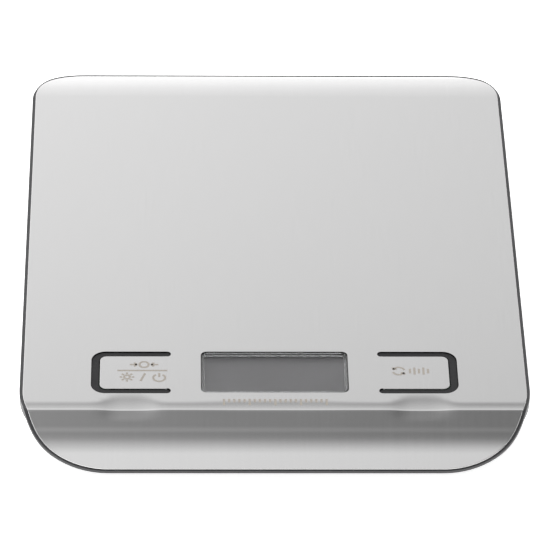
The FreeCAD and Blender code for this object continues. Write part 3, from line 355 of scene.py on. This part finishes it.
def sheet_mesh(name, outer, holes=()):
    """A pressed sheet with rounded edges: its face, the rounded rim of each loop and its underside."""
    loops = [(outer, outward(outer, False))] + [(hole, outward(hole, True)) for hole in holes]
    drawn_in = [[p - n * EDGE for p, n in zip(loop, normals)] for loop, normals in loops]
    points, kept = triangulated(drawn_in)
    upper = [Vector((p.x, p.y, face_height(p.x, p.y))) for p in points]
    normals = [face_normal(p.x, p.y) for p in points]
    count = len(points)
    places = upper + [place - normal * GAUGE for place, normal in zip(upper, normals)]
    shades = normals + [-normal for normal in normals]
    faces = kept + [[count + i for i in reversed(face)] for face in kept]
    find = {plan_key(point): number for number, point in enumerate(points)}
    for (loop, out), inner in zip(loops, drawn_in):
        first = [find[plan_key(point)] for point in inner]
        add_rim(places, shades, faces, inner, out, first, [count + number for number in first])
    return build_mesh(name, places, faces, shades)


def add_rim(places, shades, faces, inner, out, first, last):
    """Join a loop's upper and lower edge, whose points are numbered in first and last, by a rounded rim."""
    rings = [first]
    levels = [(turn, 0) for turn in RIM_TURNS] + [(math.pi - turn, 1) for turn in reversed(RIM_TURNS)]
    for turn, under in levels:
        ring = []
        for place, direction in zip(inner, out):
            up = face_normal(place.x, place.y)
            base = Vector((place.x, place.y, face_height(place.x, place.y))) - up * (GAUGE if under else 0)
            side = Vector((direction.x, direction.y, 0))
            round_off = EDGE * (1 - abs(math.cos(turn)))
            ring.append(len(places))
            places.append(base + side * EDGE * math.sin(turn) + up * (round_off if under else -round_off))
            leaning = (side * math.sin(turn) + up * math.cos(turn)).normalized()
            shades.append(leaning if direction.length else up)
        rings.append(ring)
    rings.append(last)
    for upper, lower in zip(rings, rings[1:]):
        for k in range(len(upper)):
            following = (k + 1) % len(upper)
            faces.append([upper[k], lower[k], lower[following], upper[following]])


def build_mesh(name, places, faces, shades=None):
    """A mesh object whose x and y are also its UV map, which the brushing of the steel follows."""
    mesh = bpy.data.meshes.new(name)
    mesh.from_pydata([tuple(place) for place in places], [], faces)
    mesh.update()
    mesh.validate()
    layer = mesh.uv_layers.new(name="plan")
    for loop in mesh.loops:
        place = mesh.vertices[loop.vertex_index].co
        layer.data[loop.index].uv = (place.x, place.y)
    mesh.polygons.foreach_set("use_smooth", [True] * len(mesh.polygons))
    if shades:
        mesh.normals_split_custom_set_from_vertices([tuple(shade) for shade in shades])
    piece = bpy.data.objects.new(name, mesh)
    bpy.context.scene.collection.objects.link(piece)
    return piece


def steel_platform():
    """The pressed and brushed steel platform, with the window and the two key slots cut out."""
    outer = rounded_box(-HALF_WIDTH, HALF_WIDTH, FRONT_Y, REAR_Y, FRONT_CORNER, REAR_CORNER)
    window = rounded_box(-WINDOW_X, WINDOW_X, WINDOW_FRONT, WINDOW_REAR, WINDOW_CORNER, WINDOW_CORNER)
    plate = sheet_mesh("brushed_platform", outer, [window] + [slot_cutout(way) for _, way in SIDES])
    finish(plate, "steel", "housing", "platform_plate")


def steel_keys():
    """The two spring keys, which are tongues of the same sheet."""
    for side, way in SIDES:
        key = sheet_mesh(f"brushed_key_{side}", key_outline(way))
        finish(key, "steel", f"key_{side}", f"key_tab_{side}")


def band(first, second):
    """The faces between two closed rings of numbered points."""
    faces = []
    for k in range(len(first)):
        after = (k + 1) % len(first)
        faces.append([first[k], first[after], second[after], second[k]])
    return faces


def numbered(count, size):
    """The point numbers of a row of rings that have one size."""
    return [list(range(start, start + size)) for start in range(0, count * size, size)]


# the rim's section in mm: how far inside the steel, and how high over the steel's face
RIM_SECTION = (
    (0.03, -1.2), (0.03, -0.42), (0.12, -0.2), (0.3, -0.1),
    (0.6, -0.14), (0.9, -0.38), (1.1, -0.8), (1.1, -1.2),
)
RIM_POINTS = 240


def lens_rim():
    """The window's clear edge, which stands up inside the steel to just under its face."""
    places = []
    for inset, height in RIM_SECTION:
        corner = WINDOW_CORNER - inset * MM
        loop = rounded_box(-WINDOW_X + inset * MM, WINDOW_X - inset * MM, WINDOW_FRONT + inset * MM,
                           WINDOW_REAR - inset * MM, corner, corner)
        places += [Vector((p.x, p.y, TOP + height * MM)) for p in resampled(loop, RIM_POINTS)]
    rings = numbered(len(RIM_SECTION), RIM_POINTS)
    faces = []
    for first, second in zip(rings, rings[1:] + rings[:1]):
        faces += band(first, second)
    finish(build_mesh("window_rim", places, faces), "window", "housing")


# the bead's section: its share of the way from the steel to the frame's face, and mm below its crest
BEAD_SECTION = ((0.0, 1.0), (0.0, 0.1), (0.3, 0.0), (0.75, 0.03), (1.0, 0.18), (1.0, 1.0))
BEAD_SINK = 0.72 * MM
BEAD_RISE = 0.95 * MM
BEAD_GAP = 0.04 * MM
BEAD_FADE = 50
BEAD_STEPS = 20


def bead_places():
    """The bead's rings of points, from the right-hand side round both rear corners to the left."""
    centre_x, steel_y = HALF_WIDTH - REAR_CORNER, REAR_Y - REAR_CORNER
    box_high = CAD_BOX[1]
    frame_corner = box_high[0] - centre_x - BEAD_GAP
    frame_y = box_high[1] - BEAD_GAP - frame_corner
    turns = [90 * step / BEAD_STEPS for step in range(BEAD_STEPS + 1)]
    places = []
    for x, turn in [(centre_x, turn) for turn in turns] + [(-centre_x, 90 + turn) for turn in turns]:
        way = polar(1, turn)
        near = Vector((x, steel_y)) + way * (REAR_CORNER + BEAD_GAP)
        far = Vector((x, frame_y)) + way * frame_corner
        rise = BEAD_RISE * smooth(min(turn, 180 - turn) / BEAD_FADE)
        for across, drop in BEAD_SECTION:
            at = near.lerp(far, across)
            places.append(Vector((at.x, at.y, face_height(at.x, near.y) - BEAD_SINK + rise - drop * MM)))
    return places


def rear_bead():
    """The frame's raised bead behind the steel's rear edge, which fades out round both rear corners."""
    places = bead_places()
    size = len(BEAD_SECTION)
    rings = numbered(len(places) // size, size)
    faces = [list(reversed(rings[0])), list(rings[-1])]
    for first, second in zip(rings, rings[1:]):
        faces += band(first, second)
    finish(build_mesh("rear_bead", places, faces), "housing_plastic", "housing")


# ---- printed marks ---------------------------------------------------------------------------------

PRINT_LIFT = 0.012 * MM
STROKE = 0.8 * MM
FINE = 0.2 * MM


def stroke(path):
    """A printed line along a path in plan, as left and right edge points."""
    edges = []
    for number, point in enumerate(path):
        before, after = path[max(number - 1, 0)], path[min(number + 1, len(path) - 1)]
        along = (after - before).normalized()
        across = Vector((-along.y, along.x)) * STROKE / 2
        edges.append((point + across, point - across))
    return edges


def straight(ax, ay, bx, by, count=8):
    """A straight path in equal parts, so that it can follow the steel."""
    a, b = Vector((ax, ay)), Vector((bx, by))
    return [a.lerp(b, number / count) for number in range(count + 1)]


def moved(path, x, y, size=1.0):
    return [Vector((x + point.x * size, y + point.y * size)) for point in path]


def tare_mark():
    """Two arrows that point at a ring."""
    ring = 1.35 * MM
    tip, tail = 2.1 * MM, 4.2 * MM
    barb_x, barb_y = 2.9 * MM, 0.9 * MM
    marks = [arc_points((0, 0), ring, 0, 360, FINE)]
    for way in (-1, 1):
        marks.append(straight(way * tip, 0, way * tail, 0))
        for rise in (-1, 1):
            marks.append(straight(way * tip, 0, way * barb_x, rise * barb_y, 4))
    return marks


def power_mark():
    """An open ring with an upright stroke."""
    ring, gap_end, sweep = 1.6 * MM, 125, 290
    foot, head = 0.3 * MM, 2.1 * MM
    return [arc_points((0, 0), ring, gap_end, sweep, FINE), straight(0, foot, 0, head)]


def light_mark():
    """A ring with rays."""
    ring, near, far = 0.8 * MM, 1.25 * MM, 2.0 * MM
    rays = 8
    marks = [arc_points((0, 0), ring, 0, 360, 0.75 * FINE)]
    for number in range(rays):
        angle = 360 / rays * number
        marks.append(straight(*polar(near, angle), *polar(far, angle), 2))
    return marks


def cycle_mark():
    """Two half rings with arrow heads that chase each other."""
    ring, start, sweep = 1.9 * MM, 15, 140
    barb, barb_spreads = 1.1 * MM, (-50, 30)
    marks = []
    for turn in (0, 180):
        end = turn + start + sweep
        marks.append(arc_points((0, 0), ring, turn + start, sweep, FINE))
        tip = polar(ring, end + 1)
        marks += [[tip, tip + polar(barb, end - 90 + spread)] for spread in barb_spreads]
    return marks


def printed(name, marks, body):
    """A thin printed piece that lies on the steel."""
    places, faces = [], []
    for path in marks:
        edges = stroke(path)
        start = len(places)
        for left, right in edges:
            for point in (left, right):
                places.append(Vector((point.x, point.y, face_height(point.x, point.y) + PRINT_LIFT)))
        for number in range(len(edges) - 1):
            at = start + 2 * number
            faces.append([at, at + 1, at + 3, at + 2])
    piece = build_mesh(name, places, faces)
    finish(piece, "steel", body)
    piece.data.materials[0] = material_for("print")


# the keys' symbols: the mark, its place across the scale and behind the keys' middle in mm, and its size
LEFT_SYMBOLS = ((tare_mark, -46.2, 4.4, 1.2), (light_mark, -52.2, -2.7, 1.3), (power_mark, -40.8, -3.1, 1.3))
RIGHT_SYMBOLS = ((cycle_mark, 44.0, 0.8, 1.1),)
# the rules between the left key's symbols, from and to, in the same measures
LEFT_RULES = ((-55.6, 1.0, -37.9, 1.0), (-47.4, -5.0, -45.8, -0.6))
# the right key's upright bars, in turn short and long
BARS = 5
BAR_START = 48
BAR_PITCH = 1.6
BAR_MIDDLE = 0.8 * MM
BAR_HALVES = (1.3 * MM, 2.0 * MM)
# the graduation ticks, every fifth one long
TICKS = 21
TICK_PITCH = 1.8
TICK_END = FLAT_Y + 1.2 * MM
LONG_TICK = 3.4 * MM
SHORT_TICK = 1.9 * MM


def symbols_at(symbols, row):
    """The paths of a key's symbols."""
    return [moved(path, x * MM, row + y * MM, size) for mark, x, y, size in symbols for path in mark()]


def print_legends():
    """Plain symbols on the keys and a row of graduation ticks in front of the window."""
    row = (SLOT_FRONT + SLOT_REAR) / 2
    rules = [straight(ax * MM, row + ay * MM, bx * MM, row + by * MM) for ax, ay, bx, by in LEFT_RULES]
    printed("print_key_left", symbols_at(LEFT_SYMBOLS, row) + rules, "key_left")
    right = symbols_at(RIGHT_SYMBOLS, row)
    for number in range(BARS):
        x = (BAR_START + BAR_PITCH * number) * MM
        half = BAR_HALVES[number % 2]
        right.append(straight(x, row + BAR_MIDDLE - half, x, row + BAR_MIDDLE + half, 3))
    printed("print_key_right", right, "key_right")
    ticks = []
    for number in range(TICKS):
        x = (number - TICKS // 2) * TICK_PITCH * MM
        length = SHORT_TICK if number % 5 else LONG_TICK
        ticks.append(straight(x, TICK_END, x, TICK_END - length, 6))
    printed("print_ticks", ticks, "housing")


# ---- material helpers ------------------------------------------------------------------------------

# the steel's brushing, in waves per metre along each axis
BRUSHING = (5200, 55, 55)


def blank_material(name):
    material = bpy.data.materials.new(name)
    material.use_nodes = True
    return material, material.node_tree, material.node_tree.nodes["Principled BSDF"]


def mapped(tree, scale):
    """The piece's own coordinates, stretched: a larger scale gives a finer pattern along that axis."""
    coordinates = tree.nodes.new("ShaderNodeTexCoord")
    mapping = tree.nodes.new("ShaderNodeMapping")
    mapping.inputs["Scale"].default_value = scale
    tree.links.new(coordinates.outputs["Object"], mapping.inputs["Vector"])
    return mapping.outputs["Vector"]


def noise(tree, scale, detail=3.0, roughness=0.5):
    """A noise value of about 0 to 1; scale is in waves per metre along each axis."""
    texture = tree.nodes.new("ShaderNodeTexNoise")
    texture.inputs["Scale"].default_value = 1.0
    texture.inputs["Detail"].default_value = detail
    texture.inputs["Roughness"].default_value = roughness
    tree.links.new(mapped(tree, scale), texture.inputs["Vector"])
    return texture.outputs["Fac"]


def ranged(tree, value, low, high, start=0.3, stop=0.7):
    """A value's span from start to stop, spread over low to high."""
    spread = tree.nodes.new("ShaderNodeMapRange")
    spread.inputs["From Min"].default_value = start
    spread.inputs["From Max"].default_value = stop
    spread.inputs["To Min"].default_value = low
    spread.inputs["To Max"].default_value = high
    tree.links.new(value, spread.inputs["Value"])
    return spread.outputs["Result"]


def blended(tree, value, low, high, start=0.3, stop=0.7):
    """A colour between low and high."""
    ramp = tree.nodes.new("ShaderNodeValToRGB")
    ramp.color_ramp.elements[0].position = start
    ramp.color_ramp.elements[1].position = stop
    ramp.color_ramp.elements[0].color = (*low, 1)
    ramp.color_ramp.elements[1].color = (*high, 1)
    tree.links.new(value, ramp.inputs["Fac"])
    return ramp.outputs["Color"]


def bumped(tree, shader, value, strength, distance):
    """Use a value as the surface's fine relief."""
    bump = tree.nodes.new("ShaderNodeBump")
    bump.inputs["Strength"].default_value = strength
    bump.inputs["Distance"].default_value = distance
    tree.links.new(value, bump.inputs["Height"])
    tree.links.new(bump.outputs["Normal"], shader.inputs["Normal"])


def shaded(colour, share):
    """A colour made darker or lighter."""
    return tuple(min(channel * share, 1) for channel in colour)


# ---- materials -------------------------------------------------------------------------------------

def steel_material():
    """Satin steel brushed from front to back: long streaks and faint clouds."""
    material, tree, shader = blank_material("brushed_steel")
    shader.inputs["Metallic"].default_value = 1.0
    shader.inputs["Anisotropic"].default_value = 0.75
    streaks = noise(tree, BRUSHING, 4.0, 0.6)
    clouds = noise(tree, (26, 14, 26), 3.0)
    colour = blended(tree, streaks, (0.642, 0.640, 0.641), (0.668, 0.666, 0.667))
    tree.links.new(colour, shader.inputs["Base Color"])
    rough = tree.nodes.new("ShaderNodeMath")
    rough.operation = "ADD"
    tree.links.new(ranged(tree, streaks, 0.145, 0.195), rough.inputs[0])
    tree.links.new(ranged(tree, clouds, -0.012, 0.02), rough.inputs[1])
    tree.links.new(rough.outputs["Value"], shader.inputs["Roughness"])
    tangent = tree.nodes.new("ShaderNodeTangent")
    tangent.direction_type = "UV_MAP"
    tangent.uv_map = "plan"
    tree.links.new(tangent.outputs["Tangent"], shader.inputs["Tangent"])
    bumped(tree, shader, streaks, 0.18, 0.003 * MM)
    return material


def print_material():
    """Tan-grey ink, thin enough to let the brushing through."""
    material, tree, shader = blank_material("print_ink")
    streaks = noise(tree, BRUSHING, 4.0, 0.6)
    tone = blended(tree, streaks, (0.25, 0.225, 0.20), (0.31, 0.285, 0.25))
    tree.links.new(tone, shader.inputs["Base Color"])
    tree.links.new(ranged(tree, streaks, 0.45, 0.6), shader.inputs["Roughness"])
    return material


def moulded(name, colour, roughness=0.5, grain=1800, depth=0.02, sheen=0.5):
    """Moulded plastic or rubber: a fine spark-eroded grain, faint clouds and uneven gloss."""
    material, tree, shader = blank_material(name)
    shader.inputs["Specular IOR Level"].default_value = sheen
    fine = noise(tree, (grain, grain, grain), 2.0)
    clouds = noise(tree, (60, 60, 60), 4.0)
    tone = blended(tree, clouds, shaded(colour, 0.88), shaded(colour, 1.14))
    tree.links.new(tone, shader.inputs["Base Color"])
    tree.links.new(ranged(tree, fine, roughness - 0.07, roughness + 0.07), shader.inputs["Roughness"])
    bumped(tree, shader, fine, 0.5, depth * MM)
    return material


def metal(name, colour, roughness=0.25, stretch=(300, 2500, 300)):
    """Stamped or plated metal with drawn scratches."""
    material, tree, shader = blank_material(name)
    shader.inputs["Metallic"].default_value = 1.0
    lines = noise(tree, stretch, 3.0, 0.6)
    clouds = noise(tree, (150, 150, 150), 3.0)
    tone = blended(tree, clouds, shaded(colour, 0.9), shaded(colour, 1.06))
    tree.links.new(tone, shader.inputs["Base Color"])
    tree.links.new(ranged(tree, lines, roughness - 0.06, roughness + 0.1), shader.inputs["Roughness"])
    bumped(tree, shader, lines, 0.3, 0.006 * MM)
    return material


def clear(name, colour, roughness=0.03):
    """Clear moulded window or glass with faint wipe marks."""
    material, tree, shader = blank_material(name)
    shader.inputs["Transmission Weight"].default_value = 1.0
    shader.inputs["IOR"].default_value = 1.49
    wipes = noise(tree, (90, 400, 90), 3.0)
    tree.links.new(blended(tree, wipes, shaded(colour, 0.97), colour), shader.inputs["Base Color"])
    tree.links.new(ranged(tree, wipes, roughness * 0.6, roughness * 1.5), shader.inputs["Roughness"])
    bumped(tree, shader, wipes, 0.05, 0.01 * MM)
    return material


def display_face():
    """The unlit display: a grey film with the faintest cloud."""
    material, tree, shader = blank_material("display_face")
    clouds = noise(tree, (120, 120, 120), 3.0)
    fine = noise(tree, (6000, 6000, 6000), 1.0)
    tone = blended(tree, clouds, (0.098, 0.092, 0.099), (0.106, 0.100, 0.108))
    tree.links.new(tone, shader.inputs["Base Color"])
    tree.links.new(ranged(tree, fine, 0.4, 0.5), shader.inputs["Roughness"])
    return material


def battery_sleeve():
    """A plain cell: a printed sleeve in two colours."""
    material, tree, shader = blank_material("battery_sleeve")
    scuffs = noise(tree, (900, 200, 200), 4.0)
    tone = blended(tree, scuffs, (0.05, 0.11, 0.24), (0.08, 0.16, 0.32))
    tree.links.new(tone, shader.inputs["Base Color"])
    tree.links.new(ranged(tree, scuffs, 0.22, 0.36), shader.inputs["Roughness"])
    shader.inputs["Coat Weight"].default_value = 0.4
    bumped(tree, shader, scuffs, 0.15, 0.02 * MM)
    return material


def solder_mask():
    """The board: green lacquer over faint traces."""
    material, tree, shader = blank_material("solder_mask")
    traces = tree.nodes.new("ShaderNodeTexBrick")
    traces.inputs["Scale"].default_value = 400
    traces.inputs["Color1"].default_value = (0.02, 0.12, 0.05, 1)
    traces.inputs["Color2"].default_value = (0.025, 0.16, 0.065, 1)
    traces.inputs["Mortar"].default_value = (0.04, 0.22, 0.09, 1)
    tree.links.new(mapped(tree, (1, 1, 1)), traces.inputs["Vector"])
    tree.links.new(traces.outputs["Color"], shader.inputs["Base Color"])
    gloss = noise(tree, (500, 500, 500), 2.0)
    tree.links.new(ranged(tree, gloss, 0.2, 0.35), shader.inputs["Roughness"])
    return material


# one finish for each material slot of the record, and the ink of the printed marks
FINISHES = {
    "steel": steel_material,
    "print": print_material,
    "housing_plastic": lambda: moulded("housing_plastic", (0.034, 0.034, 0.036), 0.42, 2200, 0.012),
    "seal": lambda: moulded("slot_seal", (0.016, 0.016, 0.017), 0.6, 1500, 0.01, 0.28),
    "adhesive": lambda: moulded("adhesive_film", (0.5, 0.48, 0.43), 0.6, 900),
    "window": lambda: clear("window_lens", (0.93, 0.94, 0.94)),
    "bezel": lambda: moulded("bezel_black", (0.05, 0.05, 0.052), 0.5, 2500, 0.008),
    "lcd_glass": lambda: clear("lcd_glass", (0.75, 0.8, 0.78)),
    "lcd_face": display_face,
    "reflector": lambda: moulded("reflector_white", (0.8, 0.8, 0.78), 0.35, 900),
    "board": solder_mask,
    "chip": lambda: moulded("chip_epoxy", (0.02, 0.02, 0.02), 0.45, 2500),
    "component": lambda: moulded("component_ceramic", (0.4, 0.33, 0.24), 0.4, 2500),
    "switch_body": lambda: moulded("switch_black", (0.04, 0.04, 0.04), 0.4, 2500),
    "plunger": lambda: moulded("plunger_cream", (0.6, 0.56, 0.48), 0.4, 2500),
    "post": lambda: moulded("post_black", (0.06, 0.06, 0.06), 0.45, 2500),
    "cell_steel": lambda: metal("cell_steel", (0.6, 0.6, 0.61), 0.3),
    "gauge": lambda: moulded("gauge_potting", (0.72, 0.66, 0.52), 0.3, 1500),
    "screw": lambda: metal("screw_zinc", (0.62, 0.62, 0.64), 0.28, (900, 900, 900)),
    "foot_plastic": lambda: moulded("foot_plastic", (0.06, 0.06, 0.063), 0.45, 2200, 0.012),
    "foot_rubber": lambda: moulded("foot_rubber", (0.085, 0.085, 0.085), 0.75, 1300, 0.03),
    "wire_white": lambda: moulded("wire_white", (0.72, 0.72, 0.69), 0.4, 1200),
    "wire_red": lambda: moulded("wire_red", (0.5, 0.03, 0.025), 0.4, 1200),
    "wire_black": lambda: moulded("wire_black", (0.03, 0.03, 0.03), 0.4, 1200),
    "battery": battery_sleeve,
    "contact": lambda: metal("contact_nickel", (0.72, 0.7, 0.66), 0.2, (1500, 1500, 1500)),
}
painted = {}


def material_for(slot):
    if slot not in painted:
        painted[slot] = FINISHES[slot]()
    return painted[slot]


def finish(piece, slot, body, *replaced):
    """Give a new piece its material, the body that it rides on and the CAD nodes that it stands for."""
    piece.data.materials.append(material_for(slot))
    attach(piece, body)
    if replaced:
        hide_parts(*replaced)


def paint_nodes():
    """Give every CAD node the material of its slot."""
    for subpart in frame["record"]["subparts"]:
        piece = frame["nodes"][subpart["node"]]
        piece.data.materials.clear()
        piece.data.materials.append(material_for(subpart["material_slot"]))


def soften(node, width, segments=3):
    """Round a CAD node's sharp edges."""
    bevel = frame["nodes"][node].modifiers.new("rounded_edges", "BEVEL")
    bevel.width = width
    bevel.segments = segments
    bevel.limit_method = "ANGLE"
    bevel.angle_limit = math.radians(40)


# ---- studio ----------------------------------------------------------------------------------------

# the room's light, by the angle from the front horizon over the top to the rear horizon; the same from below
SKY = (
    (0, 1.35), (30, 1.35), (42, 0.8), (52, 0.29), (60, 0.27), (66, 0.38), (71.5, 0.27), (80, 0.33),
    (86, 0.5), (92, 0.69), (98, 0.86), (106, 1.02), (122, 0.98), (129, 0.72), (134.5, 0.46), (139, 0.74),
    (141.5, 0.93), (143, 0.985), (145, 1.06), (147, 1.14), (156, 1.22), (166, 1.36), (180, 1.42),
)
SKY_PEAK = 1.45
# the room is brighter to the left, by SIDE_SHIFT times the way sideways, within SIDE_REACH
SIDE_SHIFT = 1.35
SIDE_REACH = 0.16
# the dark panels between these levels glow a little more to the left, from GLOW_EDGE on
GLOW_LEVELS = (0.22, 0.54)
GLOW_SHIFT = 3.6
GLOW_EDGE = 0.05

LIGHT_PLACE = (-0.3, 0.2, 2.2)
LIGHT_SIZE = 2.4
LIGHT_POWER = 42
TABLE_REACH = 6.0
TABLE_GLOW = 0.75

CAMERA_PLACE = (-0.035524, -1.312284, 0.992959)
CAMERA_YAW = math.radians(1.622)
CAMERA_PITCH = math.radians(37.02)
CAMERA_ROLL = math.radians(1.0507)
SENSOR_WIDTH = 36
LENS = 291.58


def math_node(tree, operation, first, second=None):
    """One arithmetic node on outputs or plain numbers."""
    item = tree.nodes.new("ShaderNodeMath")
    item.operation = operation
    for number, value in enumerate((first, second)):
        if isinstance(value, (int, float)):
            item.inputs[number].default_value = value
        elif value is not None:
            tree.links.new(value, item.inputs[number])
    return item.outputs["Value"]


def sky_panels(tree, split):
    """The colour of the sky panels in a direction."""
    raised = math_node(tree, "ABSOLUTE", split.outputs["Z"])
    forward = math_node(tree, "MULTIPLY", split.outputs["Y"], -1.0)
    share = math_node(tree, "DIVIDE", math_node(tree, "ARCTAN2", raised, forward), math.pi)
    panels = tree.nodes.new("ShaderNodeValToRGB")
    elements = panels.color_ramp.elements
    while len(elements) < len(SKY):
        elements.new(1.0)
    for element, (angle, level) in zip(elements, SKY):
        element.position = angle / 180
        element.color = (level / SKY_PEAK,) * 3 + (1,)
    tree.links.new(share, panels.inputs["Fac"])
    return panels.outputs["Color"]


def studio_sky():
    """Long soft panels across the room: bright low in front, dark higher up, bright overhead and behind."""
    world = bpy.data.worlds.new("studio")
    bpy.context.scene.world = world
    world.use_nodes = True
    tree = world.node_tree
    direction = tree.nodes.new("ShaderNodeTexCoord").outputs["Generated"]
    split = tree.nodes.new("ShaderNodeSeparateXYZ")
    tree.links.new(direction, split.inputs["Vector"])
    panels = sky_panels(tree, split)
    rightward = math_node(tree, "MAXIMUM", split.outputs["X"], -SIDE_REACH)
    sideways = math_node(tree, "MINIMUM", rightward, SIDE_REACH)
    overall = math_node(tree, "ADD", math_node(tree, "MULTIPLY", sideways, -SIDE_SHIFT), 1.0)
    darkness = ranged(tree, panels, 1.0, 0.0, *GLOW_LEVELS)
    glow = math_node(tree, "MULTIPLY", math_node(tree, "SUBTRACT", GLOW_EDGE, sideways), GLOW_SHIFT)
    tilt = math_node(tree, "ADD", overall, math_node(tree, "MULTIPLY", darkness, glow))
    background = tree.nodes["Background"]
    tree.links.new(panels, background.inputs["Color"])
    tree.links.new(math_node(tree, "MULTIPLY", tilt, SKY_PEAK), background.inputs["Strength"])


def overhead_light():
    """A large soft light that steel doesn't mirror, for the matt parts and the table."""
    light = bpy.data.lights.new("overhead_light", "AREA")
    light.shape = "DISK"
    light.size = LIGHT_SIZE
    light.energy = LIGHT_POWER
    item = bpy.data.objects.new("overhead_light", light)
    item.location = LIGHT_PLACE
    item.rotation_euler = (-Vector(LIGHT_PLACE)).to_track_quat("-Z", "Y").to_euler()
    item.visible_glossy = False
    bpy.context.scene.collection.objects.link(item)


def pale_floor():
    """A plain white light table."""
    mesh = bpy.data.meshes.new("table")
    corners = [(x * TABLE_REACH, y * TABLE_REACH, 0) for x, y in ((-1, -1), (1, -1), (1, 1), (-1, 1))]
    mesh.from_pydata(corners, [], [(0, 1, 2, 3)])
    table = bpy.data.objects.new("table", mesh)
    bpy.context.scene.collection.objects.link(table)
    material, tree, shader = blank_material("table_white")
    clouds = noise(tree, (8, 8, 8), 3.0)
    tone = blended(tree, clouds, (0.93, 0.93, 0.93), (0.95, 0.95, 0.95))
    tree.links.new(tone, shader.inputs["Base Color"])
    tree.links.new(ranged(tree, clouds, 0.7, 0.8), shader.inputs["Roughness"])
    shader.inputs["Specular IOR Level"].default_value = 0.1
    shader.inputs["Emission Color"].default_value = (1, 1, 1, 1)
    shader.inputs["Emission Strength"].default_value = TABLE_GLOW
    mesh.materials.append(material)


def studio_camera():
    """A long lens that looks down on the scale from in front of it."""
    right = Vector((math.cos(CAMERA_YAW), -math.sin(CAMERA_YAW), 0))
    level = math.cos(CAMERA_PITCH)
    ahead = Vector((math.sin(CAMERA_YAW) * level, math.cos(CAMERA_YAW) * level, -math.sin(CAMERA_PITCH)))
    above = right.cross(ahead)
    across = right * math.cos(CAMERA_ROLL) + above * math.sin(CAMERA_ROLL)
    up = above * math.cos(CAMERA_ROLL) - right * math.sin(CAMERA_ROLL)
    data = bpy.data.cameras.new("camera")
    data.sensor_width = SENSOR_WIDTH
    data.lens = LENS
    data.clip_start = 0.05
    data.clip_end = 50
    camera = bpy.data.objects.new("camera", data)
    turn = Matrix((across, up, -ahead)).transposed().to_4x4()
    camera.matrix_world = Matrix.Translation(CAMERA_PLACE) @ turn
    bpy.context.scene.collection.objects.link(camera)
    bpy.context.scene.camera = camera


SEAL_ROUNDING = 0.3 * MM
FRAME_ROUNDING = 0.25 * MM

paint_nodes()
for seal_side, _ in SIDES:
    soften(f"slot_seal_{seal_side}", SEAL_ROUNDING)
soften("upper_frame", FRAME_ROUNDING, 2)
steel_platform()
steel_keys()
lens_rim()
rear_bead()
print_legends()
studio_sky()
overhead_light()
pale_floor()
studio_camera()
bpy.context.scene.view_settings.view_transform = "Standard"
